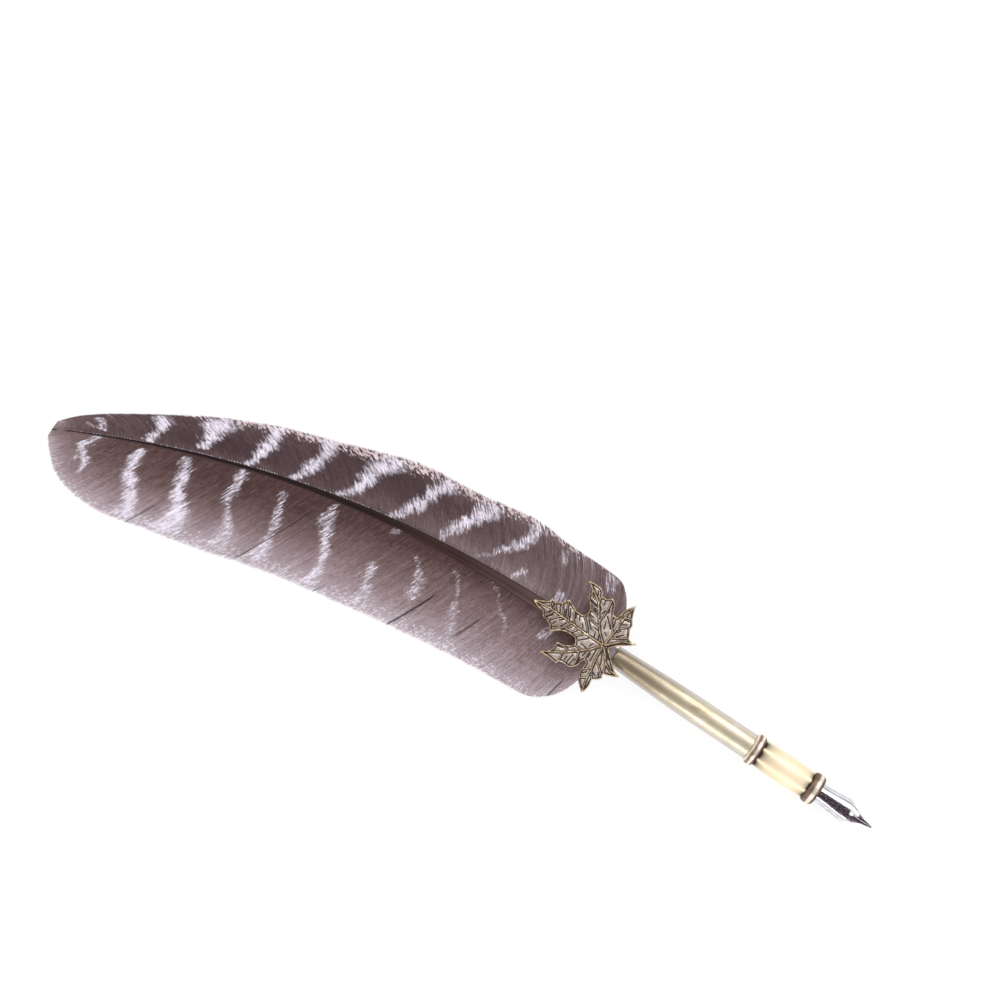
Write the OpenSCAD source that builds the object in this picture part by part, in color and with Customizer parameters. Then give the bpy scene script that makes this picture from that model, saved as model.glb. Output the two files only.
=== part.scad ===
// Quill dip pen: a barred wing feather glued into a tapered metal barrel, a cast maple leaf over
// the joint, a screw-off nib section between two bead rings, and a pull-out pointed nib.
// The pen lies on a desk. +X runs along the barrel towards the nib, +Z is up, and the feather
// curves towards -Y. Every piece is drawn with the barrel's open tail at X = 0 on the pen's axis,
// and then moved so that the origin is the middle of the underside of the whole pen.

/* [Barrel] */
// Length of the barrel from its open tail to the rear bead ring
barrel_len = 49.3; // [42:0.1:70]
// Outer diameter of the straight front part
barrel_d = 8.1; // [7.4:0.1:9.6]
// Outer diameter of the open tail
tail_d = 6.6; // [5.8:0.1:8]
// Length of the curved taper that starts at the tail
taper_len = 30.7; // [16:0.1:34]
// Wall of the barrel tube
barrel_wall = 0.6; // [0.4:0.05:0.8]

/* [Bead rings] */
// Outer diameter of both bead rings, which the pen rests on
ring_d = 9.9; // [9.4:0.1:12]
// Width of the loose rear ring between barrel and grip
barrel_ring_w = 3.15; // [2.2:0.05:5]
// Width of the front ring around the nib's mouth
nib_ring_w = 3.9; // [2.6:0.05:6]
// Width of the flat land on each ring's crest
ring_land = 0.8; // [0.4:0.1:1.2]
// Outer diameter at a ring's two side faces
ring_side_d = 7.9; // [7.7:0.05:8.8]

/* [Grip] */
// Length of the grip sleeve
grip_len = 17.4; // [13:0.1:28]
// Outer diameter at the grip's ends
grip_end_d = 8.4; // [8:0.1:9.4]
// Outer diameter at the fullest part of the grip
grip_mid_d = 9; // [8.4:0.1:10.4]
// Wall of the grip sleeve around the spindle's head
grip_wall = 0.65; // [0.4:0.05:0.8]

/* [Screw joint] */
// Outer diameter of the male thread
thread_d = 5; // [4:0.1:5.8]
// Length of thread engaged in the barrel
thread_len = 5; // [3:0.5:9]
// Distance from one thread crest to the next
thread_pitch = 1; // [0.5:0.25:1.5]
// Length of the threaded bush in the barrel
bush_len = 7; // [4:0.5:11]
// Length of the spindle's head inside the grip
head_len = 1.8; // [1:0.1:3]

/* [Nib] */
// Length of nib outside the front ring
nib_reach = 19.3; // [15:0.1:26]
// Length of nib inside the section
nib_tang_len = 19; // [10:0.1:20]
// Outer diameter that the tang is rolled to
tang_d = 6.2; // [5.2:0.1:6.8]
// Width of the nib at its shoulders
nib_w = 7.4; // [6:0.1:8.6]
// Thickness of the nib's sheet
nib_t = 0.25; // [0.2:0.01:0.3]
// Wall of the ferrule that lines the section
ferrule_wall = 0.45; // [0.3:0.05:0.6]
// Wall of the spring claw's fingers
claw_wall = 0.35; // [0.25:0.05:0.5]

/* [Feather] */
// Straight distance from the barrel's tail to the feather's tip, along the pen's axis
feather_reach = 178.5; // [130:0.5:240]
// Sideways lift that the shaft's first direction would give at the tip
shaft_lift = 7.5; // [0:0.1:14]
// Sideways drop that the shaft's curve gives at the tip
shaft_drop = 44.9; // [20:0.1:60]
// Greatest sideways width of the narrow leading vane
leading_w = 21; // [14:0.5:26]
// Greatest sideways width of the broad trailing vane
trailing_w = 34.4; // [26:0.2:42]
// Diameter of the shaft where it enters the barrel
quill_d = 4.8; // [3.6:0.1:5]
// Depth of the shaft's end inside the barrel
quill_depth = 18; // [10:0.5:24]
// Thickness of the vanes beside the shaft
vane_t = 0.45; // [0.3:0.05:0.7]

/* [Maple leaf] */
// Length of the leaf charm from its front tip to its base lobes
leaf_len = 34.2; // [26:0.1:42]
// Thickness of the leaf's recessed plate
leaf_plate_t = 0.8; // [0.5:0.1:1.4]
// Height of the rim and veins above the plate
leaf_relief = 0.4; // [0.2:0.05:0.8]
// Distance from the barrel's tail back to the leaf's hub
hub_gap = 4.5; // [3:0.1:8]
// Sideways place of the hub from the pen's axis
hub_side = 0.8; // [-2:0.1:2]

/* [Clearances] */
// Radial clearance of the running and sliding fits
fit_gap = 0.05; // [0.02:0.01:0.09]
// Gap between the faces that meet when the section is screwed home
seat_gap = 0.02; // [0.01:0.01:0.05]

/* [Hidden] */
$fn = 96;

// Stations along the pen's axis
ring_x = barrel_len + seat_gap;
grip_x = ring_x + barrel_ring_w + seat_gap;
ferrule_x = grip_x + head_len;
nib_ring_x = grip_x + grip_len;
mouth_x = nib_ring_x + nib_ring_w;
nib_tip_x = mouth_x + nib_reach;
nib_rear_x = mouth_x - nib_tang_len;

// Radii that several pieces share
tail_r = tail_d / 2;
barrel_r = barrel_d / 2;
barrel_bore_r = barrel_r - barrel_wall;
grip_bore_r = grip_end_d / 2 - grip_wall;
tang_r = tang_d / 2;
ferrule_bore_r = tang_r + fit_gap;
ferrule_r = ferrule_bore_r + ferrule_wall;
claw_r = tang_r - nib_t - fit_gap;
neck_r = thread_d / 2;
desk_z = -ring_d / 2;

// Colours
brass_dark = [0.60, 0.55, 0.42];
brass_light = [0.86, 0.80, 0.60];
steel = [0.78, 0.78, 0.80];

// ---- Curves -------------------------------------------------------------------------------

// Catmull-Rom blend of four vectors at fraction f of the middle span
function blend4(a, b, c, d, f) =
    b + f * ((c - a) + f * ((2 * a - 5 * b + 4 * c - d) + f * (3 * b - a - 3 * c + d))) / 2;

// Smooth rows through a list of control rows, with a number of steps to each span
function smooth_rows(rows, steps) = let (last = len(rows) - 1) [
    for (i = [0 : last - 1], k = [0 : steps - 1])
        blend4(rows[max(i - 1, 0)], rows[i], rows[i + 1], rows[min(i + 2, last)], k / steps),
    rows[last]];

// Outer radius of the barrel at a distance from its tail
taper_power = 1.3;
function barrel_radius(x) =
    tail_r + (barrel_r - tail_r) * pow(sin(90 * min(x / taper_len, 1)), taper_power);

// ---- Turned pieces ------------------------------------------------------------------------

// Solid of revolution about the pen's axis, from [x, radius] points
module turned(points) {
    rotate([0, 90, 0]) rotate([0, 0, 90]) rotate_extrude()
        polygon([for (p = points) [p[1], p[0]]]);
}

// Stations of the barrel's outline
barrel_xs = concat([for (i = [0 : 12]) taper_len * i / 12], [barrel_len]);
tail_lip = 0.25;

module barrel() {
    outside = [for (x = barrel_xs) [x, barrel_radius(x)]];
    inside = [for (i = [len(barrel_xs) - 1 : -1 : 0])
        [barrel_xs[i], barrel_radius(barrel_xs[i]) - barrel_wall]];
    color(brass_dark) difference() {
        turned(concat(outside, inside));
        // Broken edge of the tail's mouth
        translate([-0.01, 0, 0]) rotate([0, 90, 0])
            cylinder(h = tail_lip, r1 = tail_r - barrel_wall + tail_lip, r2 = tail_r - barrel_wall);
    }
}

module thread_bush() {
    color(brass_light) turned([
        [barrel_len - bush_len, neck_r + fit_gap], [barrel_len - bush_len, barrel_bore_r],
        [barrel_len, barrel_bore_r], [barrel_len, neck_r + fit_gap]]);
}

// Glue between the shaft and the barrel's bore, set back from the tail
glue_start = 0.8;
glue_end = quill_depth - 3;
module quill_adhesive() {
    steps = 6;
    outside = [for (i = [0 : steps]) let (x = glue_start + (glue_end - glue_start) * i / steps)
        [x, barrel_radius(x) - barrel_wall - 0.02]];
    color([0.75, 0.68, 0.50])
        turned(concat(outside, [[glue_end, quill_d / 2], [glue_start, quill_d / 2]]));
}

// Outline of a bead of width w whose side faces stand at x = 0 and x = w
function bead(w) = let (r0 = ring_side_d / 2, r1 = ring_d / 2, half = (w - ring_land) / 2, n = 8) concat(
    [for (i = [0 : n]) [half - half * cos(90 * i / n), r0 + (r1 - r0) * sin(90 * i / n)]],
    [for (i = [n : -1 : 0]) [w - half + half * cos(90 * i / n), r0 + (r1 - r0) * sin(90 * i / n)]]);

module bead_ring(w, bore_r) {
    turned(concat(bead(w), [[w, bore_r], [0, bore_r]]));
}

module barrel_ring() {
    color(brass_dark) translate([ring_x, 0, 0]) bead_ring(barrel_ring_w, neck_r + fit_gap);
}

module nib_ring() {
    color(brass_dark) translate([nib_ring_x, 0, 0]) bead_ring(nib_ring_w, ferrule_r);
}

// The grip swells in the middle and is fullest a little behind it. Its bore is wider in front of
// the spindle's head, where the ferrule fills it.
module grip_sleeve() {
    n = 16;
    full_at = 0.85;
    swell = (grip_mid_d - grip_end_d) / 2;
    outside = [for (i = [0 : n])
        [grip_x + grip_len * i / n, grip_end_d / 2 + swell * sin(180 * pow(i / n, full_at))]];
    color(brass_light)
        turned(concat(outside, [
            [nib_ring_x, ferrule_r], [ferrule_x, ferrule_r], [ferrule_x, grip_bore_r],
            [grip_x, grip_bore_r]]));
}

// Threaded stud, neck through the rear ring, and head pressed into the grip
module spindle() {
    thread_x = barrel_len - thread_len;
    depth = 0.3 * thread_pitch;
    flat = 0.12 * thread_pitch;
    threads = floor(thread_len / thread_pitch);
    crests = [for (i = [0 : threads - 1]) let (x = thread_x + i * thread_pitch) each [
        [x, neck_r - depth], [x + thread_pitch / 2 - flat, neck_r],
        [x + thread_pitch / 2 + flat, neck_r]]];
    color(steel) turned(concat(
        [[thread_x - 0.6, 0], [thread_x - 0.6, neck_r - 2 * depth]], crests,
        [[thread_x + threads * thread_pitch, neck_r - depth],
         [thread_x + threads * thread_pitch, neck_r], [grip_x, neck_r], [grip_x, grip_bore_r],
         [ferrule_x, grip_bore_r], [ferrule_x, 0]]));
}

module nib_ferrule() {
    color(brass_light) turned([
        [ferrule_x, ferrule_bore_r], [ferrule_x, ferrule_r],
        [mouth_x, ferrule_r], [mouth_x, ferrule_bore_r]]);
}

// Disc on the spindle's head with four fingers that press the tang outwards
module nib_clip() {
    base_x = ferrule_x;
    base_t = 0.4;
    finger_end = mouth_x - 2.5;
    slot_w = 1.2;
    color(steel) difference() {
        turned([[base_x, 0], [base_x, claw_r], [finger_end - 1, claw_r],
                [finger_end, claw_r - 0.4], [finger_end, claw_r - 0.4 - claw_wall],
                [finger_end - 1, claw_r - claw_wall], [base_x + base_t, claw_r - claw_wall],
                [base_x + base_t, 0]]);
        for (turn = [0, 90])
            rotate([turn + 45, 0, 0]) translate([base_x + 2, -slot_w / 2, -claw_r - 1])
                cube([finger_end - base_x, slot_w, 2 * claw_r + 2]);
    }
}

// ---- Sheets -------------------------------------------------------------------------------

// Closed solid between two grids of points, upper[i][j] and lower[i][j]
module sheet(upper, lower) {
    n = len(upper);
    m = len(upper[0]);
    function up(i, j) = i * m + j;
    function low(i, j) = n * m + i * m + j;
    faces = [
        for (i = [0 : n - 2], j = [0 : m - 2]) each [
            [up(i, j), up(i, j + 1), up(i + 1, j + 1)], [up(i, j), up(i + 1, j + 1), up(i + 1, j)],
            [low(i, j), low(i + 1, j + 1), low(i, j + 1)],
            [low(i, j), low(i + 1, j), low(i + 1, j + 1)]],
        for (i = [0 : n - 2]) each [
            [up(i, 0), up(i + 1, 0), low(i + 1, 0)], [up(i, 0), low(i + 1, 0), low(i, 0)],
            [up(i, m - 1), low(i + 1, m - 1), up(i + 1, m - 1)],
            [up(i, m - 1), low(i, m - 1), low(i + 1, m - 1)]],
        for (j = [0 : m - 2]) each [
            [up(0, j), low(0, j + 1), up(0, j + 1)], [up(0, j), low(0, j), low(0, j + 1)],
            [up(n - 1, j), up(n - 1, j + 1), low(n - 1, j + 1)],
            [up(n - 1, j), low(n - 1, j + 1), low(n - 1, j)]]];
    polyhedron(points = concat([for (row = upper) each row], [for (row = lower) each row]),
               faces = faces, convexity = 6);
}

// ---- Nib ----------------------------------------------------------------------------------

// The nib is a sheet rolled to an arc. Each row is one station:
// [position, half-width as a share of the full half-width, height of the back, half-angle of arc].
// Positions are 0 at the mouth, 1 at the point; the tang's rows are added before them.
nib_rows = [
    [0.00, 0.80, 1.00, 82], [0.16, 0.86, 0.99, 78], [0.34, 0.94, 0.97, 72], [0.50, 1.00, 0.93, 66],
    [0.565, 0.84, 0.90, 60], [0.63, 0.66, 0.86, 50], [0.71, 0.43, 0.80, 38], [0.80, 0.24, 0.73, 28],
    [0.90, 0.14, 0.63, 22], [0.985, 0.06, 0.54, 18]];

function tang_row(x) = [x, tang_r * sin(82), tang_r, 82];
nib_stations = concat(
    [for (i = [0 : 3]) tang_row(nib_rear_x + i * nib_tang_len / 4)],
    [for (row = smooth_rows(nib_rows, 2)) let (f = min(row[0] * 4, 1)) [
        mouth_x + nib_reach * row[0],
        (1 - f) * tang_r * sin(82) + f * row[1] * nib_w / 2, row[2] * tang_r, row[3]]]);

// One arc of the nib's sheet, with the sheet's face set in by d
function nib_arc(row, d) = let (r = row[1] / sin(row[3]), n = 10) [
    for (j = [0 : n]) let (turn = row[3] * (2 * j / n - 1))
        [row[0], (r - d) * sin(turn), row[2] - r + (r - d) * cos(turn)]];

module nib() {
    hole_x = mouth_x + nib_reach * 0.57;
    slit_w = 0.12;
    color(steel) difference() {
        union() {
            sheet([for (row = nib_stations) nib_arc(row, 0)],
                  [for (row = nib_stations) nib_arc(row, min(nib_t, 0.8 * row[1] / sin(row[3])))]);
            // Ball at the point
            translate([nib_tip_x - 0.3, 0, 0.54 * tang_r - 0.12]) sphere(r = 0.3, $fn = 24);
        }
        translate([hole_x, 0, 0]) cylinder(h = tang_r + 1, r = 0.55, $fn = 32);
        translate([hole_x, -slit_w / 2, 0]) cube([nib_reach, slit_w, tang_r + 1]);
    }
}

// ---- Feather ------------------------------------------------------------------------------

// Sideways place of the shaft's centre line at a share s of the reach
drop_power = 2.25;
function shaft_y(s) = shaft_lift * s - shaft_drop * pow(max(s, 0), drop_power);
// Height of the centre line over the pen's axis: a low arch that comes down to the desk
shaft_arch = 2.5;
tip_rise = 0.75;
function shaft_z(s) = shaft_arch * sin(180 * s) + (desk_z + tip_rise) * s * s;
// Half-width of the shaft, tapering to a hair at the tip
hair_r = 0.15;
thinning_power = 1.5;
function shaft_r(s) = hair_r + (quill_d / 2 - hair_r) * pow(1 - max(s, 0), thinning_power);
function on_shaft(s) = [-feather_reach * s, shaft_y(s), shaft_z(s)];

// Cross-section at share s: round in the barrel, squarer and lower along the feather
shaft_sides = 12;
function shaft_ring(centre, r, square) = [
    for (k = [0 : shaft_sides - 1]) let (
        turn = 360 / shaft_sides * (k + 0.5), c = cos(turn), q = sin(turn), power = 2 / (2 + square))
        centre + r * [0, sign(c) * pow(abs(c), power), sign(q) * pow(abs(q), power)]];

// Closed solid through a list of equal rings
module swept(rings) {
    n = len(rings);
    m = len(rings[0]);
    faces = concat(
        [[for (k = [m - 1 : -1 : 0]) k]], [[for (k = [0 : m - 1]) (n - 1) * m + k]],
        [for (i = [0 : n - 2], k = [0 : m - 1]) let (a = i * m, b = a + m, q = (k + 1) % m)
            each [[a + k, b + q, b + k], [a + k, a + q, b + q]]]);
    polyhedron(points = [for (ring = rings) each ring], faces = faces, convexity = 6);
}

module quill_shaft() {
    inside = [[quill_depth, 0.35], [quill_depth - 1, 0.72], [quill_depth - 3, 1], [0, 1]];
    outside = 36;
    color([0.30, 0.22, 0.18]) swept(concat(
        [for (p = inside) shaft_ring([p[0], 0, 0], p[1] * quill_d / 2, 0)],
        [for (i = [1 : outside]) let (s = pow(i / outside, 1.15))
            shaft_ring(on_shaft(s), shaft_r(s), min(s * 12, 1.2))]));
}

// Vane outlines. Each row follows one barb: [place of its root along the shaft as a share of the
// reach, sweep of its end towards the tip, sideways width there], the last two as shares of the
// vane's greatest width.
leading_rows = [
    [0.024, 0.00, 0.64], [0.033, 0.04, 0.81], [0.044, 0.13, 0.94], [0.069, 0.26, 0.96],
    [0.12, 0.42, 0.96], [0.175, 0.53, 1.00], [0.265, 0.62, 0.89], [0.35, 0.75, 0.86],
    [0.43, 0.88, 0.73], [0.51, 0.92, 0.64], [0.59, 0.88, 0.565], [0.67, 0.82, 0.43],
    [0.74, 0.72, 0.30], [0.81, 0.58, 0.22], [0.88, 0.44, 0.165], [0.94, 0.28, 0.13],
    [0.985, 0.12, 0.08]];
trailing_rows = [
    [0.024, 0.01, 0.365], [0.033, 0.03, 0.535], [0.044, 0.07, 0.65], [0.063, 0.12, 0.74],
    [0.108, 0.20, 0.78], [0.164, 0.29, 0.815], [0.265, 0.35, 0.88], [0.37, 0.40, 0.93],
    [0.485, 0.43, 0.96], [0.60, 0.46, 1.00], [0.695, 0.46, 0.97], [0.77, 0.43, 0.92],
    [0.83, 0.40, 0.805], [0.887, 0.35, 0.605], [0.937, 0.26, 0.33], [0.977, 0.12, 0.13]];

// Height of a vane's edge over the desk: lowest at share low, rising by rise at the tip
edge_rest = 0.1;
function edge_z(s, low) =
    desk_z + edge_rest + (tip_rise - edge_rest) * pow((s - low) / (1 - low), 2);

// Point of a vane at share u of the way from the shaft to the edge. The root is let into the shaft.
root_inset = 0.85;
droop_power = 1.6;
function vane_point(row, width, side, low, u) = let (
    s = row[0], root = on_shaft(s), inset = side * root_inset * shaft_r(s),
    edge = root + [-row[1] * width, side * row[2] * width, 0],
    z = root[2] + (edge_z(s, low) - root[2]) * pow(u, droop_power))
    [root[0] + (edge[0] - root[0]) * u, root[1] + inset + (edge[1] - root[1] - inset) * u, z];

module vane(rows, width, side, low) {
    across = 5;
    us = [for (j = [0 : across]) side > 0 ? 1 - j / across : j / across];
    stations = smooth_rows(rows, 2);
    // The sheet is thinner towards the edge and the tip, and never thicker than the shaft
    function thick(row, u) = min(vane_t, shaft_r(row[0])) * (1 - 0.5 * u);
    lower = [for (row = stations) [for (u = us) vane_point(row, width, side, low, u)]];
    upper = [for (i = [0 : len(stations) - 1]) [for (j = [0 : across])
        lower[i][j] + [0, 0, thick(stations[i], us[j])]]];
    sheet(upper, lower);
}

module leading_vane() {
    color([0.42, 0.34, 0.34]) vane(leading_rows, leading_w, 1, 0.3);
}

module trailing_vane() {
    color([0.42, 0.34, 0.34]) vane(trailing_rows, trailing_w, -1, 0.65);
}

// ---- Maple leaf ---------------------------------------------------------------------------

// Outline about the hub, counted round from the front tip
leaf_outline = [
    // front lobe, upper side
    [-25, -0.2], [-22.6, 1.1], [-20.9, 2], [-20.6, 3.3], [-19, 2.9], [-17.2, 3.9], [-16.1, 5.8],
    [-14.2, 5], [-12.3, 4.2], [-10.6, 4.1], [-9.7, 4.5],
    // upper front lobe
    [-9.2, 5.6], [-9.4, 7], [-10.4, 8.2], [-12, 9.8], [-11.6, 11.2], [-12.6, 12.5], [-14.4, 13.6],
    [-12.4, 14], [-10, 13.9], [-8.9, 13.1], [-8.4, 12.1], [-6.8, 12.1], [-5.4, 13.3], [-4, 12.3],
    [-2.9, 9.9], [-2.4, 9.3], [-1.2, 9.2],
    // upper lobe
    [-0.9, 10.6], [-0.4, 12.5], [0.6, 14], [1.6, 15.3], [2.2, 13.2], [2.8, 11.6], [4.1, 9.5],
    [4, 8.4], [4.8, 6.8], [5.4, 5.8],
    // upper base lobe
    [6.6, 5.5], [8.2, 5.7], [6.8, 4.4], [4, 2.4], [1.9, 0.1],
    // lower base lobe
    [4, -1.9], [6, -3.8], [7.6, -4.8], [9.2, -5.2], [7.2, -6.4], [4.7, -7.3], [5.1, -8.6],
    [3.8, -9.9], [2.9, -10.6],
    // lower lobe
    [3.1, -12.4], [2.9, -14.4], [2.2, -15.3], [0, -13.4], [-1.1, -11.8], [-1.6, -9.8], [-1.5, -7.3],
    [-2.3, -6.9],
    // lower front lobe
    [-2.9, -7.8], [-3, -9], [-4.2, -10.6], [-5.4, -11.1], [-7.2, -11], [-8.4, -11.3], [-9, -12.3],
    [-11.8, -12], [-15.1, -12], [-13.2, -10.6], [-12, -8.9], [-12.1, -6.8], [-10, -6.4],
    [-8.2, -5.4], [-7.4, -4.3], [-8, -3.2], [-9, -2.7],
    // front lobe, lower side
    [-11.6, -2.8], [-13.4, -3.6], [-15.7, -5.3], [-16.9, -3.8], [-18.4, -3.1], [-20, -2.8],
    [-20.8, -1.4], [-22.8, -1.2]];

// Main veins, each from the hub to the tip of a lobe
main_veins = [
    [[0, 0], [-5, 0], [-12, 0.3], [-20, 0.5], [-24, -0.2]],
    [[0, 0], [-3.2, 2.8], [-5, 5.2], [-8.6, 10.2], [-13.6, 13.4]],
    [[0, 0], [0.5, 4], [0.6, 8.5], [0.9, 12], [1.5, 14.7]],
    [[0, 0], [1.6, 1.6], [4.2, 4.2], [7.6, 5.4]],
    [[0, 0], [1.8, -1.8], [3.2, -3.8], [5.6, -5.2], [8.6, -5.3]],
    [[0, 0], [0.3, -4.5], [0.9, -7.5], [1.3, -11], [2.2, -14.6]],
    [[0, 0], [-2.4, -2.9], [-5.2, -5.6], [-9, -8.4], [-14.2, -11.6]]];

// Side veins, each from a main vein to the rim
side_veins = [
    // front lobe
    [[-5.6, 0], [-9.6, 4.2]], [[-10.4, 0.2], [-12.8, 4]], [[-12.6, 0.3], [-15.9, 5.3]],
    [[-14.8, 0.3], [-17.1, 3.6]], [[-17, 0.4], [-18.8, 2.7]], [[-19.2, 0.5], [-20.4, 2.9]],
    [[-6.2, 0], [-8.6, -2.6]], [[-9, 0.1], [-10.8, -2.6]], [[-11.6, 0.3], [-15.4, -4.8]],
    [[-15.2, 0.3], [-18, -2.9]], [[-18, 0.4], [-19.8, -2.5]],
    // upper front lobe
    [[-4.2, 4], [-9, 5]], [[-5.6, 6], [-9.4, 7]], [[-7.2, 8.2], [-11.3, 9]],
    [[-8.6, 10.2], [-11.6, 11]], [[-4.9, 5.2], [-5.3, 12.9]], [[-7.4, 8.6], [-8.5, 11.9]],
    // upper lobe
    [[0.5, 4.5], [-2.7, 9.2]], [[0.6, 8.8], [-0.7, 11]], [[0.6, 6], [4, 8.8]],
    [[0.8, 10.4], [3, 11]], [[0.5, 3], [5, 6]],
    // lower lobes
    [[1.8, -1.8], [4.6, -7.1]], [[0.5, -5], [4.8, -8.4]], [[1, -8], [2.9, -10.4]],
    [[0.9, -7], [-1.4, -9.4]], [[1.3, -10.4], [-0.8, -12]],
    // lower front lobe
    [[-2.4, -2.9], [-2.4, -6.8]], [[-4.2, -4.6], [-7.5, -4.4]], [[-5.2, -5.6], [-4.2, -10.3]],
    [[-7.4, -7.2], [-11.8, -6.9]], [[-9, -8.4], [-9, -12]]];

leaf_rear = max([for (p = leaf_outline) p[0]]);
leaf_front = min([for (p = leaf_outline) p[0]]);
leaf_top = max([for (p = leaf_outline) p[1]]);
leaf_scale = leaf_len / (leaf_rear - leaf_front);
rim_w = 0.5;
hub_s = hub_gap / feather_reach;
// The underside clears the barrel where the base lobe reaches over it
leaf_clearance = 0.1;
leaf_z = barrel_radius(max(leaf_rear * leaf_scale - hub_gap, 0)) + leaf_clearance;

function unit(v) = v / norm(v);
function left_of(v) = [-v[1], v[0]];
// Point i of a ring moved sideways by d, with long mitres cut short
function moved(ring, i, d) = let (
    n = len(ring), a = left_of(unit(ring[i] - ring[(i + n - 1) % n])),
    b = left_of(unit(ring[(i + 1) % n] - ring[i])), mitre = unit(a + b))
    ring[i] - mitre * min(d / max(mitre * a, 0.2), 2.6 * d);

// Strip along a line of points, from width w0 to width w1
module strip(line, w0, w1) {
    n = len(line) - 1;
    function side_of(i) = left_of(unit(line[min(i + 1, n)] - line[max(i - 1, 0)]));
    function half(i) = (w0 + (w1 - w0) * i / n) / 2;
    polygon(concat([for (i = [0 : n]) line[i] + side_of(i) * half(i)],
                   [for (i = [n : -1 : 0]) line[i] - side_of(i) * half(i)]));
}

module maple_leaf() {
    ring = leaf_outline * leaf_scale;
    inner = [for (i = [0 : len(ring) - 1]) moved(ring, i, rim_w)];
    n = len(ring);
    raised = leaf_plate_t + leaf_relief;
    color([0.72, 0.64, 0.46])
        translate([-hub_gap, hub_side, leaf_z]) {
            linear_extrude(leaf_plate_t) polygon(ring);
            linear_extrude(raised) {
                polygon(concat(ring, inner), [[for (i = [0 : n - 1]) i], [for (i = [n : 2 * n - 1]) i]]);
                for (line = main_veins) strip(line * leaf_scale, 0.9, 0.5);
                for (line = side_veins) strip(line * leaf_scale, 0.45, 0.4);
            }
        }
}

// Pad of glue that fills the space between the shaft and the leaf, over half the front lobe
module leaf_adhesive() {
    pad_len = 12 * leaf_scale;
    pad_w = 0.7 * quill_d;
    front_s = (hub_gap + pad_len) / feather_reach;
    color([0.75, 0.68, 0.50]) difference() {
        translate([0, 0, 0.4]) linear_extrude(leaf_z - 0.4) hull()
            for (s = [hub_s, front_s]) translate([-feather_reach * s, shaft_y(s)])
                circle(d = pad_w, $fn = 32);
        swept([for (i = [-2 : 8]) let (s = hub_s + (front_s - hub_s) * i / 6)
            shaft_ring(on_shaft(s), shaft_r(s), min(s * 12, 1.2))]);
    }
}

// ---- Place of the origin ------------------------------------------------------------------

function edge_points(rows, width, side) = [for (row = smooth_rows(rows, 2))
    on_shaft(row[0]) + [-row[1] * width, side * row[2] * width, 0]];
leading_edge = edge_points(leading_rows, leading_w, 1);
trailing_edge = edge_points(trailing_rows, trailing_w, -1);
x_low = min([-feather_reach, for (p = concat(leading_edge, trailing_edge)) p[0]]);
y_low = min([for (p = trailing_edge) p[1]]);
y_high = max([for (p = leading_edge) p[1], hub_side + leaf_top * leaf_scale]);

module placed() {
    translate([-(x_low + nib_tip_x) / 2, -(y_low + y_high) / 2, -desk_z]) children();
}

placed() barrel();
placed() thread_bush();
placed() quill_shaft();
placed() quill_adhesive();
placed() leading_vane();
placed() trailing_vane();
placed() maple_leaf();
placed() leaf_adhesive();
placed() barrel_ring();
placed() grip_sleeve();
placed() nib_ring();
placed() spindle();
placed() nib_ferrule();
placed() nib_clip();
placed() nib();
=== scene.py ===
import math

import bmesh
import bpy
import numpy as np
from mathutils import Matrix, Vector
from mathutils.geometry import delaunay_2d_cdt
from mathutils.kdtree import KDTree


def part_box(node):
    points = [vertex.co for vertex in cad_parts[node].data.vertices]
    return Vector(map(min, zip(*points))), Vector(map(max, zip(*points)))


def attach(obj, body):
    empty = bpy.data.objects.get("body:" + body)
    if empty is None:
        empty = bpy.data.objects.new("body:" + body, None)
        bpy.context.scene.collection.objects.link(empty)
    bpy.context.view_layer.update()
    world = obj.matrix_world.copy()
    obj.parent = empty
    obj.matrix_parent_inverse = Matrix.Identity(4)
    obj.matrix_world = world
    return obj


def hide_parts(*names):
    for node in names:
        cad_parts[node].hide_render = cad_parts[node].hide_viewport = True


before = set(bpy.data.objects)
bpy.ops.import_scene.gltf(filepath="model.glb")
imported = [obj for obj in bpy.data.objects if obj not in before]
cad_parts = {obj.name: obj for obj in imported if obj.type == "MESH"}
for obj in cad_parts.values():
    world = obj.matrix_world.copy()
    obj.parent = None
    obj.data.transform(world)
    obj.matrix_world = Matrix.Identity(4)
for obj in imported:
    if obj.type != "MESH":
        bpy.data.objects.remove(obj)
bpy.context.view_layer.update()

# All lengths below are millimetres from the barrel's open tail on the pen's axis, +X to the nib.
_lo, _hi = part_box("barrel")
TAIL = np.array([_lo.x, (_lo.y + _hi.y) / 2, (_lo.z + _hi.z) / 2])


def span(node):
    """Where a CAD node starts and ends along the pen."""
    lo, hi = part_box(node)
    return (lo.x - TAIL[0]) * 1000, (hi.x - TAIL[0]) * 1000


def radius_of(node):
    """Radius of a round CAD node on the pen's axis."""
    lo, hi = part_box(node)
    return (hi.z - lo.z) * 500


BARREL_LEN = span("barrel")[1]
DESK = -TAIL[2] * 1000
REACH = -span("quill_shaft")[0]


# ---- Mesh helpers ---------------------------------------------------------------------------

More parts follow.
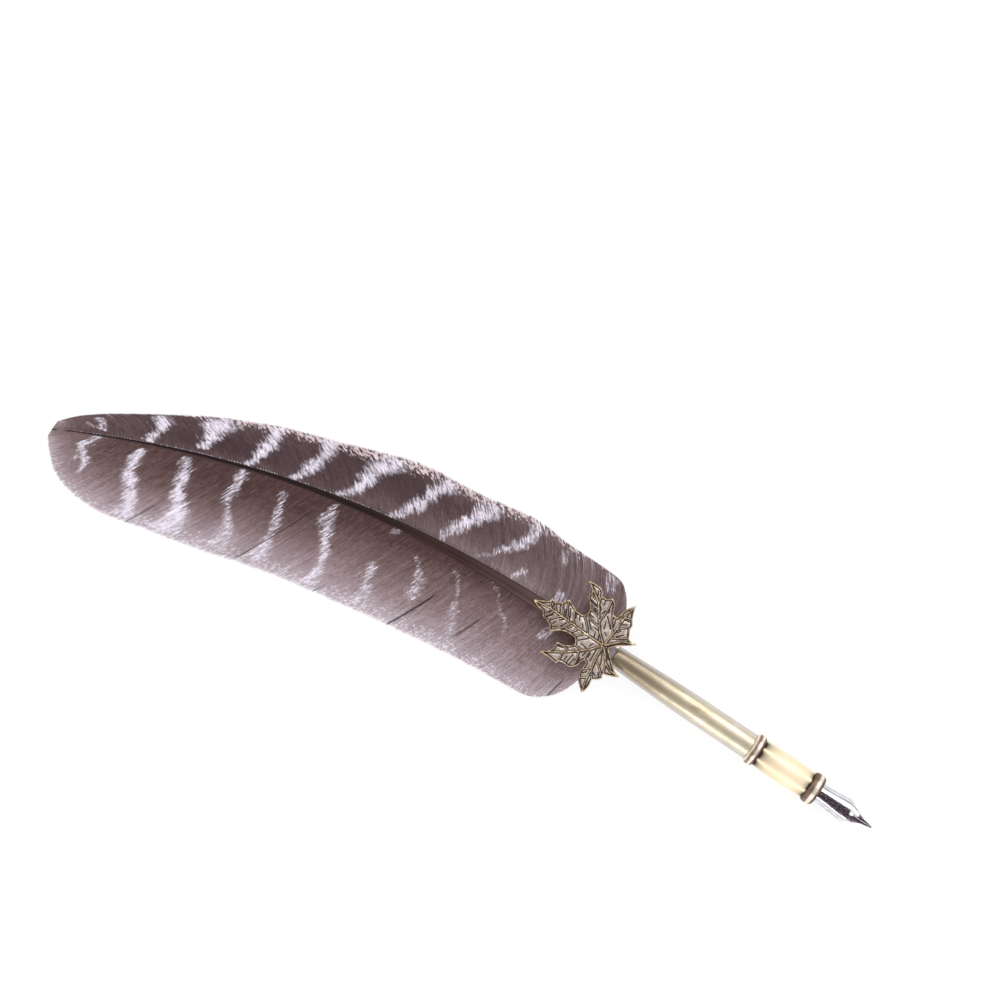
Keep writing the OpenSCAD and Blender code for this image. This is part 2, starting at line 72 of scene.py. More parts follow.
def make(name, points, faces, body, material, attributes=None, replaces=(), tidy=True):
    """A mesh piece from points in millimetres, on its CAD body."""
    mesh = bpy.data.meshes.new(name)
    points = np.asarray(points, float) * 0.001 + TAIL
    mesh.from_pydata(points.tolist(), [], [list(map(int, f)) for f in faces])
    for key, values in (attributes or {}).items():
        layer = mesh.attributes.new(key, "FLOAT", "POINT")
        layer.data.foreach_set("value", np.asarray(values, np.float32).ravel())
    if tidy:
        bm = bmesh.new()
        bm.from_mesh(mesh)
        bmesh.ops.remove_doubles(bm, verts=bm.verts, dist=1e-7)
        bmesh.ops.recalc_face_normals(bm, faces=bm.faces)
        bm.to_mesh(mesh)
        bm.free()
    mesh.polygons.foreach_set("use_smooth", np.ones(len(mesh.polygons), bool))
    mesh.update()
    obj = bpy.data.objects.new(name, mesh)
    bpy.context.scene.collection.objects.link(obj)
    obj.data.materials.append(material)
    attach(obj, body)
    if replaces:
        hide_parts(*replaces)


def grid(n, m, wrap=False, flip=False):
    """Quads between n rows of m points, with a last quad back to the row's start if it wraps."""
    i, j = np.meshgrid(np.arange(n - 1), np.arange(m if wrap else m - 1), indexing="ij")
    k = (j + 1) % m
    f = np.stack([i * m + j, i * m + k, (i + 1) * m + k, (i + 1) * m + j], -1).reshape(-1, 4)
    return f[:, ::-1] if flip else f


def rounded(profile, r, steps=4):
    """A closed (x, radius) outline with its corners rounded."""
    p = np.asarray(profile, float)
    out = []
    for i in range(len(p)):
        a, b, c = p[i - 1], p[i], p[(i + 1) % len(p)]
        u, v = a - b, c - b
        lu, lv = np.linalg.norm(u), np.linalg.norm(v)
        turn = abs(u[0] * v[1] - u[1] * v[0]) / max(lu * lv, 1e-9)
        if turn < 0.3 or min(b[1], a[1] + 1, c[1] + 1) <= 0:
            out.append(b)
            continue
        d = min(r, 0.45 * lu, 0.45 * lv)
        s, e = b + u / lu * d, b + v / lv * d
        for t in np.linspace(0, 1, steps + 1):
            out.append((1 - t) ** 2 * s + 2 * t * (1 - t) * b + t * t * e)
    return np.array(out)


def lathe(profile, around=160, closed=True):
    """Points and faces of an outline turned about the pen's axis."""
    p = np.asarray(profile, float)
    turn = np.linspace(0, 2 * np.pi, around, endpoint=False)
    pts = np.stack([
        np.repeat(p[:, 0:1], around, 1), p[:, 1:2] * np.sin(turn), p[:, 1:2] * np.cos(turn)], -1)
    faces = grid(len(p), around, wrap=True)
    if closed:
        i = np.arange(around)
        k = (i + 1) % around
        last = (len(p) - 1) * around
        faces = np.concatenate([faces, np.stack([last + i, last + k, k, i], -1)])
    return pts.reshape(-1, 3), faces


def curve_at(f, a, b, c, d):
    """Point at share f of the way from b to c on a smooth curve through a, b, c and d."""
    return b + f * ((c - a) + f * ((2 * a - 5 * b + 4 * c - d) + f * (3 * b - a - 3 * c + d))) / 2


def smooth_rows(rows, steps):
    """A table with its rows joined by smooth curves, each stretch cut into equal steps."""
    r = np.asarray(rows, float)
    n = len(r) - 1
    out = []
    for i in range(n):
        near = r[max(i - 1, 0)], r[i], r[i + 1], r[min(i + 2, n)]
        out += [curve_at(k / steps, *near) for k in range(steps)]
    return np.array(out + [r[n]])


def wave_noise(x, seed, octaves=4):
    """Smooth noise of one variable, about -1 to 1."""
    rng = np.random.default_rng(seed)
    total, weight = np.zeros_like(x, float), 0
    for o in range(octaves):
        knots = rng.uniform(-1, 1, 4096)
        t = x * 2 ** o + 17.3 * o
        i = np.floor(t).astype(int)
        f = t - i
        f = f * f * (3 - 2 * f)
        total += (knots[i % 4096] * (1 - f) + knots[(i + 1) % 4096] * f) * 0.6 ** o
        weight += 0.6 ** o
    return total / weight


def ease(a, b, x):
    """0 before a, 1 after b and a smooth rise between them."""
    t = np.clip((x - a) / (b - a), 0, 1)
    return t * t * (3 - 2 * t)


def bell(x, width):
    """1 at zero, falling off smoothly to both sides."""
    return np.exp(-(x / width) ** 2)


# ---- Materials ------------------------------------------------------------------------------

def srgb(r, g, b):
    """A colour given as screen values from 0 to 255."""
    return tuple(((c / 255 + 0.055) / 1.055) ** 2.4 if c > 10 else c / 3295 for c in (r, g, b))


class Nodes:
    """Short calls for building a node material.

    An input takes a value, a colour in screen values or another node's output.
    """

    def __init__(self, name):
        self.mat = bpy.data.materials.new(name)
        self.mat.use_nodes = True
        self.tree = self.mat.node_tree
        self.tree.nodes.clear()
        out = self.tree.nodes.new("ShaderNodeOutputMaterial")
        self.bsdf = self.tree.nodes.new("ShaderNodeBsdfPrincipled")
        self.put(self.bsdf.outputs[0], out.inputs[0])

    def put(self, value, socket):
        if isinstance(value, bpy.types.NodeSocket):
            self.tree.links.new(value, socket)
        else:
            socket.default_value = (*srgb(*value), 1) if socket.type == "RGBA" else value

    def add(self, kind, inputs, **settings):
        """The outputs of a new node whose inputs are given by place or name."""
        node = self.tree.nodes.new("ShaderNode" + kind)
        for key, value in settings.items():
            setattr(node, key, value)
        for key, value in inputs.items():
            self.put(value, node.inputs[key])
        return node.outputs

    def position(self):
        return self.add("TexCoord", {})["Object"]

    def attribute(self, name):
        return self.add("Attribute", {}, attribute_name=name)["Fac"]

    def combine(self, x, y):
        return self.add("CombineXYZ", {0: x, 1: y})[0]

    def scaled(self, vector, by):
        return self.add("VectorMath", {0: vector, 1: by}, operation="MULTIPLY")[0]

    def math(self, op, a, b):
        return self.add("Math", {0: a, 1: b}, operation=op)[0]

    def plus(self, a, b):
        return self.math("ADD", a, b)

    def less(self, a, b):
        return self.math("SUBTRACT", a, b)

    def times(self, a, b):
        return self.math("MULTIPLY", a, b)

    def total(self, *parts):
        """The first part and a share of every other one."""
        out = parts[0]
        for value, share in parts[1:]:
            out = self.plus(out, self.times(value, share))
        return out

    def noise(self, vector, scale, detail=4.0, rough=0.55, distortion=0.0):
        return self.add("TexNoise", {"Vector": vector, "Scale": scale, "Detail": detail,
                                     "Roughness": rough, "Distortion": distortion})["Fac"]

    def ramp(self, value, stops, smooth=True):
        """Each stop is its place, then a colour in screen values or one grey share."""
        node = self.add("ValToRGB", {0: value})[0].node
        node.color_ramp.interpolation = "EASE" if smooth else "LINEAR"
        points = node.color_ramp.elements
        while len(points) < len(stops):
            points.new(0.5)
        for point, (at, *colour) in zip(points, stops):
            point.position = at
            point.color = (*(srgb(*colour) if len(colour) == 3 else colour * 3), 1)
        return node.outputs["Color"]

    def mix(self, fac, a, b, kind="MIX"):
        return self.add("Mix", {0: fac, 6: a, 7: b}, data_type="RGBA", blend_type=kind)[2]

    def bump(self, height, strength, distance):
        return self.add("Bump", {"Height": height, "Strength": strength, "Distance": distance})[0]

    def surface(self, colour, rough, metallic=0.0, **sockets):
        sockets |= {"Base_Color": colour, "Roughness": rough, "Metallic": metallic}
        for key, value in sockets.items():
            self.put(value, self.bsdf.inputs[key.replace("_", " ")])
        return self.mat


def brass(name, bright, mid, patina, soot_and_shade, rough, tail, metallic=1.0):
    """Antiqued brass: lengthwise brush lines, cloudy tarnish, fine pits, darkening in the corners that is
    partly patina and partly painted shade, and a painted pale reflection along the sides.
    """
    n = Nodes(name)
    where = n.position()
    lines = n.noise(n.scaled(where, (90, 3400, 3400)), 1, 3, 0.6)
    wide = n.noise(n.scaled(where, (35, 900, 900)), 1, 3, 0.5)
    cloud = n.noise(n.scaled(where, (1, 1.4, 1.4)), 170, 5, 0.6, 0.4)
    pits = n.noise(where, 2600, 4, 0.7)
    tone = n.total(n.times(cloud, 0.45), (lines, 0.25), (wide, 0.3))
    colour = n.ramp(tone, [(0.36, *patina), (0.47, *mid), (0.6, *bright)])
    colour = n.mix(n.attribute("tail"), colour, tail, "MULTIPLY")
    # painted reflection: the barrel's sides turn pale grey, standing in for the greyer reflection at
    # grazing angles
    colour = n.mix(n.times(n.attribute("side_reflection"), 0.7), colour, (206, 200, 198))
    dust = n.ramp(pits, [(0.6, 0.0), (0.74, 1.0)])
    colour = n.mix(n.times(dust, 0.22), colour, patina)
    # corner darkening: a dark joint on the barrel, patina and painted shade beside the grip's rings
    corner = n.times(n.less(lines, 0.5), 0.8)
    corner = n.times(n.attribute("soot_and_shade"), n.plus(corner, 1.0))
    corner = n.ramp(corner, [(0.02, 0.0), (0.9, 1.0)], smooth=False)
    colour = n.mix(corner, colour, soot_and_shade)
    roughness = n.plus(n.ramp(tone, [(0.3, rough + 0.12), (0.6, rough)]), n.times(corner, 0.15))
    height = n.plus(n.times(lines, 0.8), n.times(pits, 0.3))
    return n.surface(colour, roughness, metallic, Normal=n.bump(height, 0.10, 0.00003))


barrel_brass = brass("barrel_brass_look", (230, 219, 198), (212, 200, 174),
                     (182, 167, 138), (92, 78, 62), 0.35, (172, 166, 160))
grip_brass = brass("grip_brass_look", (254, 238, 210), (250, 231, 196),
                   (240, 222, 180), (52, 42, 34), 0.46, (206, 190, 176), 0.55)
plain_brass = brass("plain_brass_look", (225, 200, 140), (205, 175, 110),
                    (130, 100, 60), (80, 60, 40), 0.3, (200, 180, 150))


def ring_look():
    """Darkened bead: brown-black in the flanks, a little rubbed where it stands out, with painted
    highlight lines where the crest value is high.
    """
    n = Nodes("ring_brass_look")
    where = n.position()
    crest = n.attribute("crest")
    cloud = n.noise(where, 420, 5, 0.6, 0.3)
    # painted highlight: the crest value carries highlight lines as well as real rubbing, and brightens
    # and smooths the bead
    rub_and_highlight = n.plus(n.times(cloud, 0.4), n.times(crest, 0.7))
    colour = n.ramp(rub_and_highlight, [(0.18, 82, 66, 58), (0.34, 122, 100, 86),
                          (0.5, 168, 146, 128), (0.76, 242, 232, 216)])
    turns = n.noise(n.scaled(where, (9000, 300, 300)), 1, 3, 0.6)
    roughness = n.ramp(rub_and_highlight, [(0.2, 0.55), (0.8, 0.36)])
    return n.surface(colour, roughness, 1.0, Normal=n.bump(n.plus(turns, cloud), 0.18, 0.00004))


ring_brass = ring_look()


def steel_look():
    """Polished nib steel with fine lengthwise grinding, slight bluish clouding, and dark marks that are
    partly stain and partly a painted dark reflection.
    """
    n = Nodes("nib_steel_look")
    where = n.position()
    grind = n.noise(n.scaled(where, (180, 5200, 5200)), 1, 4, 0.65)
    cloud = n.noise(where, 300, 4, 0.6, 0.6)
    ink_and_reflection = n.attribute("ink_and_reflection")
    colour = n.ramp(cloud, [(0.35, 205, 205, 212), (0.65, 236, 236, 240)])
    band_noise = n.noise(n.scaled(where, (500, 1500, 1500)), 1, 4, 0.7)
    # painted dark reflection: the band from the ink attribute, partly real ink, its edge broken by noise
    soot_and_shade = n.ramp(n.plus(ink_and_reflection, n.times(n.less(band_noise, 0.5), 0.7)), [(0.38, 0.0), (0.6, 1.0)])
    marks = n.noise(n.scaled(where, (1900, 3400, 3400)), 1, 3, 0.6)
    dark = n.ramp(marks, [(0.42, 56, 46, 51), (0.53, 94, 82, 88),
                          (0.66, 154, 144, 152)])
    colour = n.mix(soot_and_shade, colour, dark)
    roughness = n.ramp(n.plus(n.times(cloud, 0.6), n.times(ink_and_reflection, 0.4)), [(0.3, 0.1), (0.8, 0.26)])
    return n.surface(colour, roughness, 1.0, Normal=n.bump(grind, 0.1, 0.00003))


nib_steel = steel_look()


def spring_look():
    """Drawn spring steel, a little stained."""
    n = Nodes("spring_steel_look")
    where = n.position()
    drawn = n.noise(n.scaled(where, (300, 4200, 4200)), 1, 4, 0.6)
    stain = n.noise(where, 520, 5, 0.65, 0.5)
    colour = n.ramp(stain, [(0.34, 120, 112, 108), (0.6, 190, 190, 194)])
    return n.surface(colour, n.ramp(drawn, [(0.3, 0.4), (0.7, 0.25)]), 1.0,
                     Normal=n.bump(drawn, 0.2, 0.00004))


spring_steel = spring_look()


def adhesive_look():
    """Amber glue that lets some light through."""
    n = Nodes("adhesive_look")
    where = n.position()
    cloud = n.noise(where, 380, 5, 0.6, 0.7)
    skin = n.noise(where, 1500, 4, 0.6)
    colour = n.ramp(cloud, [(0.3, 120, 92, 50), (0.7, 190, 164, 112)])
    return n.surface(colour, n.ramp(skin, [(0.3, 0.2), (0.7, 0.42)]), 0.0,
                     Normal=n.bump(skin, 0.4, 0.0001), Transmission_Weight=0.25, IOR=1.48)


adhesive = adhesive_look()


def leaf_look():
    """Cast leaf: rubbed gold rims and veins, black-brown patina in the corners, silver-taupe panels, with
    painted shade on one side of every vein and on one side of the leaf.
    """
    n = Nodes("leaf_metal_look")
    where = n.position()
    ridge, groove, shade = n.attribute("ridge"), n.attribute("groove"), n.attribute("shade")
    cloud = n.noise(where, 520, 5, 0.62, 0.5)
    grain = n.noise(where, 3800, 4, 0.7)
    panel = n.ramp(n.plus(n.times(cloud, 0.7), n.times(grain, 0.3)),
                   [(0.36, 164, 146, 134), (0.5, 200, 185, 174),
                    (0.62, 238, 228, 219)])
    # painted shade from the shade attribute
    panel = n.mix(n.times(shade, 0.5), panel, (140, 124, 100))
    gold = n.ramp(cloud, [(0.36, 138, 112, 86), (0.5, 190, 163, 130),
                          (0.64, 238, 222, 196)])
    top = n.plus(ridge, n.times(n.less(grain, 0.5), 0.35))
    colour = n.mix(n.ramp(top, [(0.42, 0.0), (0.72, 1.0)]), panel, gold)
    # patina in the grooves, and painted shade on one side of each vein
    dirt_and_shade = n.plus(groove, n.times(n.less(cloud, 0.5), 0.8))
    dirt_and_shade = n.ramp(dirt_and_shade, [(0.34, 0.0), (0.62, 1.0)])
    colour = n.mix(n.times(dirt_and_shade, 0.95), colour, (50, 34, 28))
    metal = n.less(1.0, n.times(dirt_and_shade, 0.55))
    roughness = n.ramp(dirt_and_shade, [(0.0, 0.34), (1.0, 0.62)])
    height = n.plus(n.times(grain, 0.5), cloud)
    return n.surface(colour, roughness, metal, Normal=n.bump(height, 0.35, 0.00008))


leaf_metal = leaf_look()


def shaft_look():
    """Keratin shaft: pale and waxy at the barrel, smoked brown to black further out, fluted, with painted
    shade along both sides and painted highlight lines along it.
    """
    n = Nodes("feather_shaft_look")
    s, v = n.attribute("along"), n.attribute("across")
    flute = n.noise(n.combine(n.times(s, 30.0), n.times(v, 9.0)), 1.6, 5, 0.65)
    fine = n.noise(n.combine(n.times(s, 420.0), n.times(v, 26.0)), 1, 4, 0.6)
    mid = n.ramp(s, [(0.0, 176, 166, 172), (0.03, 168, 156, 160),
                     (0.10, 114, 90, 84), (0.22, 82, 62, 60),
                     (0.32, 61, 42, 40), (0.5, 38, 23, 23), (1.0, 28, 18, 19)])
    # painted shade on both sides of the shaft, with painted highlight lines between
    wob = n.plus(v, n.times(n.less(flute, 0.5), 0.4))
    shaft_shade_and_highlight = n.ramp(n.plus(n.times(wob, 0.5), 0.5),
                  [(0.02, 0.3), (0.12, 0.8), (0.2, 1.0), (0.3, 0.9), (0.44, 0.55),
                   (0.58, 0.8), (0.84, 0.75), (0.97, 0.25)])
    colour = n.mix(n.ramp(s, [(0.0, 0.0), (0.08, 1.0)]), mid, shaft_shade_and_highlight, "MULTIPLY")
    colour = n.mix(n.ramp(fine, [(0.5, 0.0), (0.8, 0.2)]), colour, (134, 108, 104))
    return n.surface(colour, n.ramp(fine, [(0.3, 0.45), (0.7, 0.65)]), 0.0,
                     Normal=n.bump(n.plus(flute, n.times(fine, 0.4)), 0.3, 0.0001),
                     Specular_IOR_Level=0.10)


feather_shaft = shaft_look()


def vane_look(name, width, ground_stops, white, pale, flake):
    """Barred vane: brown-black to mauve ground, streaky white bars, freckled pale margin, painted shadow
    lines at splits and beside the shaft, and painted sheen in the per-barb brightness.
    """
    n = Nodes(name)
    s, u, home = n.attribute("along"), n.attribute("out"), n.attribute("home")
    barb, bar, tone = n.attribute("barb"), n.attribute("bar"), n.attribute("tone")
    margin, shadow_line, rib = n.attribute("margin"), n.attribute("shadow_line"), n.attribute("rib")

    def streaks(across, along, detail):
        """Noise of the given grain in millimetres, across the barbs and along them, about 0."""
        where = n.combine(n.times(home, REACH / across), n.times(u, width / along))
        return n.less(n.noise(where, 1, detail, 0.6), 0.5)

    strand, hair, fleck = streaks(0.62, 4.6, 3), streaks(0.3, 1.9, 2), streaks(0.75, 1.0, 3)
    ground = n.ramp(n.total(tone, (strand, 0.55), (hair, 0.35), (fleck, 0.2)), ground_stops,
                    smooth=False)
    breaks = n.total(n.times(strand, 2.5), (hair, 2.4), (fleck, 1.1))
    breaks = n.times(breaks, n.math("MINIMUM", n.times(bar, 1.8), 1.0))
    mask = n.times(n.plus(bar, breaks), 0.7)
    mask = n.ramp(mask, [(0.15, 0.0), (0.45, 0.34), (0.72, 0.74), (0.98, 1.0)], smooth=False)
    grain = n.total(n.times(fleck, 3.0), (hair, 2.0), (strand, 1.6))
    grain = n.times(grain, n.math("MINIMUM", n.times(margin, 1.6), 1.0))
    freckle = n.ramp(n.plus(margin, grain), [(0.46, 0.0), (0.92, 1.0)])
    colour = n.mix(n.times(freckle, flake), ground, pale)
    colour = n.mix(mask, colour, white)
    colour = n.mix(1.0, colour, barb, "MULTIPLY")
    line = n.ramp(rib, [(0.0, 0.94), (0.5, 1.0), (1.0, 0.96)])
    colour = n.mix(0.5, colour, line, "MULTIPLY")
    # painted shadow lines at splits and beside the shaft
    colour = n.mix(n.times(shadow_line, 0.9), colour, (44, 30, 31))
    hooks = n.noise(n.combine(n.times(s, 9000.0), n.times(u, 900.0)), 1, 2)
    return n.surface(colour, n.ramp(n.plus(fleck, 0.5), [(0.3, 0.55), (0.7, 0.7)]), 0.0,
                     Normal=n.bump(hooks, 0.15, 0.00004), Specular_IOR_Level=0.18)


# width of each vane, and the share of the shaft from which its edge lifts towards the tip
LEAD_W, TRAIL_W = 21, 34.4
LEAD_LOW, TRAIL_LOW = 0.3, 0.65
leading_look = vane_look("leading_vane_look", LEAD_W, [
    (0.0, 176, 158, 162), (0.25, 136, 116, 118), (0.5, 112, 92, 94),
    (0.75, 86, 66, 69), (1.0, 70, 52, 55)],
    (246, 238, 252), (236, 216, 220), 0.9)
trailing_look = vane_look("trailing_vane_look", TRAIL_W, [
    (0.0, 192, 176, 184), (0.2, 176, 158, 164), (0.4, 151, 129, 133),
    (0.6, 128, 106, 106), (0.8, 106, 83, 82), (1.0, 80, 57, 55)],
    (246, 238, 252), (242, 230, 240), 0.66)


# ---- Barrel, rings, grip --------------------------------------------------------------------

TAPER_LEN, TAPER_POWER, TAIL_R, WALL = 30.7, 1.3, 3.3, 0.6
BARREL_R = radius_of("barrel")
RING_SIDE_R, RING_BORE_R = 3.95, 2.55
GRIP_R, GRIP_SWELL, CHAMFER = 4.2, 0.3, 0.08
FERRULE_R, HEAD_R = 3.6, 3.55


def barrel_radius(x):
    """Outer radius of the barrel at a distance from its tail."""
    rise = np.sin(np.pi / 2 * np.minimum(x / TAPER_LEN, 1)) ** TAPER_POWER
    return TAIL_R + (BARREL_R - TAIL_R) * rise


xs = np.linspace(0, BARREL_LEN, 90)
outside = np.stack([xs, barrel_radius(xs)], 1)
inside = np.stack([xs[::-1], barrel_radius(xs[::-1]) - WALL], 1)
lip = [[0.22, TAIL_R - WALL + 0.02], [0.05, TAIL_R - WALL + 0.14], [0, TAIL_R - 0.22],
       [0.02, TAIL_R - 0.08]]
rim = [[BARREL_LEN - 0.06, BARREL_R], [BARREL_LEN, BARREL_R - 0.06]]
p, f = lathe(np.concatenate([lip, outside[1:-1], rim, inside[:-1]]))
seam = np.exp(-(BARREL_LEN - p[:, 0]) / 0.2) * 0.3
# a dark line at the joint with the ring, and a painted pale reflection along the sides
make("barrel_tube", p, f, "pen", barrel_brass,
     {"tail": 1 - ease(4, 36, p[:, 0]), "soot_and_shade": seam,
      "side_reflection": ease(0.62, 0.92, np.abs(p[:, 1]) / np.hypot(p[:, 1], p[:, 2]))}, ["barrel"])


def bead(x0, x1, r_out, r_side, bore, land=0.8):
    """Outline of a bead ring with a flat land on its crest."""
    w = x1 - x0
    half = (w - land) / 2
    t = np.linspace(0, np.pi / 2, 22)
    rise = r_side + (r_out - r_side) * np.sin(t)
    left = np.stack([x0 + half - half * np.cos(t), rise], 1)
    right = np.stack([x1 - half + half * np.cos(t[::-1]), rise[::-1]], 1)
    bevel = [[x1, bore + CHAMFER], [x1 - CHAMFER, bore], [x0 + CHAMFER, bore], [x0, bore + CHAMFER]]
    return np.concatenate([left, right, bevel])


def ring_piece(name, node, bore, body, highlight_at, rear):
    """A bead ring with a painted highlight line at one share of its width and, by some, a painted
    highlight at its rear edge.
    """
    x0, x1 = span(node)
    p, f = lathe(bead(x0, x1, radius_of(node), RING_SIDE_R, bore))
    r = np.hypot(p[:, 1], p[:, 2])
    share = (r - RING_SIDE_R) / (radius_of(node) - RING_SIDE_R)
    across = (p[:, 0] - x0) / (x1 - x0)
    # crest value: a little real rubbing on the raised part, a painted highlight line at one share of the
    # width and a painted highlight at the rear edge
    crest = (0.22 * np.clip(share, 0, 1) + 0.85 * bell(across - highlight_at, 0.13)
             + rear * bell(across, 0.18))
    make(name, p, f, body, ring_brass, {"crest": crest}, [node])


ring_piece("rear_bead", "barrel_ring", RING_BORE_R, "ring", 0.6, 0.9)
ring_piece("front_bead", "nib_ring", FERRULE_R, "section", 0.62, 0.0)

g0, g1 = span("grip_sleeve")
t = np.linspace(0, 1, 60)
outside = np.stack([g0 + (g1 - g0) * t, GRIP_R + GRIP_SWELL * np.sin(np.pi * t ** 0.85)], 1)
head_x = span("nib_ferrule")[0]
bore = [[g1, FERRULE_R], [head_x, FERRULE_R], [head_x, HEAD_R], [g0, HEAD_R]]
rear_end, front_end = [[g0, GRIP_R - CHAMFER]], [[g1, GRIP_R - CHAMFER]]
p, f = lathe(np.concatenate([rear_end, outside[1:-1], front_end, bore]))
turned_by = np.degrees(np.arctan2(p[:, 1], p[:, 2]))
from_rear, from_front = p[:, 0] - g0, g1 - p[:, 0]
# dark patina and painted shade beside both rings, cleared in lengthwise stripes so many degrees apart
# where the lamps' highlights fall
STRIPE_GAP, STRIPE_HALF = 51, 8.5
first_stripe = 23 - STRIPE_GAP / 2
highlight_stripes = bell((turned_by - first_stripe) % STRIPE_GAP - STRIPE_GAP / 2, STRIPE_HALF)
deep = 0.66 * np.exp(-from_rear / 0.8) + 0.50 * np.exp(-from_rear / 2.9)
soot_and_shade = deep * (1 - 0.92 * highlight_stripes) + 0.12 * np.exp(-from_rear / 3.4)
deep = 0.95 * np.exp(-from_front / 0.7) + 0.25 * np.exp(-from_front / 2.0)
soot_and_shade = np.maximum(soot_and_shade, deep * (1 - 0.92 * highlight_stripes))
make("grip_tube", p, f, "section", grip_brass,
     {"tail": 0.2 * np.exp(-from_rear / 3.0), "soot_and_shade": soot_and_shade}, ["grip_sleeve"])

# ---- Threaded spindle -----------------------------------------------------------------------

s0, s1 = span("spindle")
THREAD_R, THREAD_DEPTH, PITCH = 2.5, 0.3, 1.0
THREAD_END = BARREL_LEN
around = 96
xs = np.concatenate([np.linspace(s0 + 0.02, THREAD_END, 150), [g0, g0]])
turn = np.linspace(0, 2 * np.pi, around, endpoint=False)
X, A = np.meshgrid(xs, turn, indexing="ij")
phase = (X / PITCH - A / (2 * np.pi)) % 1
tooth = np.clip(1.25 - 2.5 * np.abs(phase - 0.5), 0, 1)
runout = ease(s0, s0 + 1.0, X) * (1 - ease(THREAD_END - 0.5, THREAD_END - 0.05, X))
R = THREAD_R - THREAD_DEPTH + THREAD_DEPTH * tooth * runout
# the plain neck in front of the thread, and the stud's rounded rear end
R[-2:] = THREAD_R
R[-3] = THREAD_R - THREAD_DEPTH
R[:4] -= np.array([0.3, 0.18, 0.08, 0.02])[:, None]
body_pts = np.stack([X, R * np.sin(A), R * np.cos(A)], -1).reshape(-1, 3)
body_faces = grid(len(xs), around, wrap=True)
head = rounded([[g0, THREAD_R], [g0, HEAD_R], [s1, HEAD_R], [s1, 0.0]], 0.1)
hp, hf = lathe(head, around, closed=False)
cap = np.array([[s0 + 0.02, 0, 0]])
head_from, cap_at = len(body_pts), len(body_pts) + len(hp)
i = np.arange(around)
fan = np.stack([np.full(around, cap_at), i, (i + 1) % around], -1)
faces = [*body_faces.tolist(), *(hf + head_from).tolist(), *fan.tolist()]
make("screw_spindle", np.concatenate([body_pts, hp, cap]), faces, "section",
     plain_brass, replaces=["spindle"])

# ---- Nib ------------------------------------------------------------------------------------

nib_lo, nib_hi = span("nib")
MOUTH = span("nib_ring")[1]
NIB_REACH = nib_hi - MOUTH
TANG_R, NIB_T, NIB_HALF = 3.1, 0.25, 3.7
TANG_TURN = math.radians(82)
# each row: share of the reach, half-width, height of the back, and how far it curls, in degrees
nib_rows = [
    [0.00, 0.80, 1.00, 82], [0.16, 0.86, 0.99, 78], [0.34, 0.94, 0.97, 72], [0.50, 1.00, 0.93, 66],
    [0.565, 0.84, 0.90, 60], [0.63, 0.66, 0.86, 50], [0.71, 0.43, 0.80, 38], [0.80, 0.24, 0.73, 28],
    [0.90, 0.14, 0.63, 22], [0.985, 0.06, 0.54, 18]]
dense = smooth_rows(nib_rows, 10)
blendin = np.minimum(dense[:, 0] * 4, 1)
stations = np.stack([
    MOUTH + NIB_REACH * dense[:, 0],
    (1 - blendin) * TANG_R * math.sin(TANG_TURN) + blendin * dense[:, 1] * NIB_HALF,
    dense[:, 2] * TANG_R, np.radians(dense[:, 3])], 1)
stations = np.concatenate([
    [[nib_lo, TANG_R * math.sin(TANG_TURN), TANG_R, TANG_TURN]], stations])
END_X = stations[-1, 0]


def nib_at(x, q, inset):
    """Point on the nib's sheet: station x, arc distance q from the middle, set in from its face."""
    half, back, angle = (np.interp(x, stations[:, 0], stations[:, k]) for k in (1, 2, 3))
    r = half / np.sin(angle)
    a = q / r
    return np.stack([x, (r - inset) * np.sin(a), back - r + (r - inset) * np.cos(a)], -1)


def nib_edge(x):
    """Arc distance from the nib's middle to its edge."""
    half, angle = (np.interp(x, stations[:, 0], stations[:, k]) for k in (1, 3))
    return half / np.sin(angle) * angle


HOLE_X, HOLE_R, SLIT = MOUTH + NIB_REACH * 0.60, 0.5, 0.05
STEP = 0.16
ex = np.concatenate([np.arange(nib_lo, MOUTH + 8, 0.3), np.arange(MOUTH + 8, END_X, 0.12), [END_X]])
right_edge = np.stack([ex, -nib_edge(ex)], 1)
left_edge = np.stack([ex[::-1], nib_edge(ex[::-1])], 1)
slit_x = np.arange(HOLE_X + HOLE_R + 0.05, END_X - 0.02, STEP)
turns = np.linspace(0.12, 2 * np.pi - 0.12, 40)
hole = np.stack([HOLE_X + 1.35 * HOLE_R * np.cos(turns), HOLE_R * np.sin(turns)], 1)
boundary = np.concatenate([
    right_edge, [[END_X + 0.01, -SLIT * 0.4]],
    np.stack([slit_x[::-1], np.full(len(slit_x), -SLIT)], 1), hole[::-1],
    np.stack([slit_x, np.full(len(slit_x), SLIT)], 1), [[END_X + 0.01, SLIT * 0.4]], left_edge])


def inside_polygon(p, ring):
    """Whether each point is inside a closed ring, by counting the sides to its right."""
    a, b = ring, np.roll(ring, -1, 0)
    x, y = p[:, 0:1], p[:, 1:2]
    cross = (a[:, 1] > y) != (b[:, 1] > y)
    at = (b[:, 0] - a[:, 0]) * (y - a[:, 1]) / np.where(b[:, 1] == a[:, 1], 1e-12,
                                                         b[:, 1] - a[:, 1]) + a[:, 0]
    return (np.sum(cross & (x < at), 1) % 2).astype(bool)


def distance_to(p, lines, halves=None):
    """Distance from points to the nearest of many segments, less each segment's half-width."""
    a, b = lines[:, 0], lines[:, 1]
    best = np.full(len(p), 1e9)
    for k in range(len(a)):
        d = b[k] - a[k]
        t = np.clip(((p - a[k]) @ d) / max(d @ d, 1e-12), 0, 1)
        gap = np.linalg.norm(p - a[k] - t[:, None] * d, axis=1)
        if halves is not None:
            gap = gap - (halves[k, 0] + (halves[k, 1] - halves[k, 0]) * t)
        best = np.minimum(best, gap)
    return best


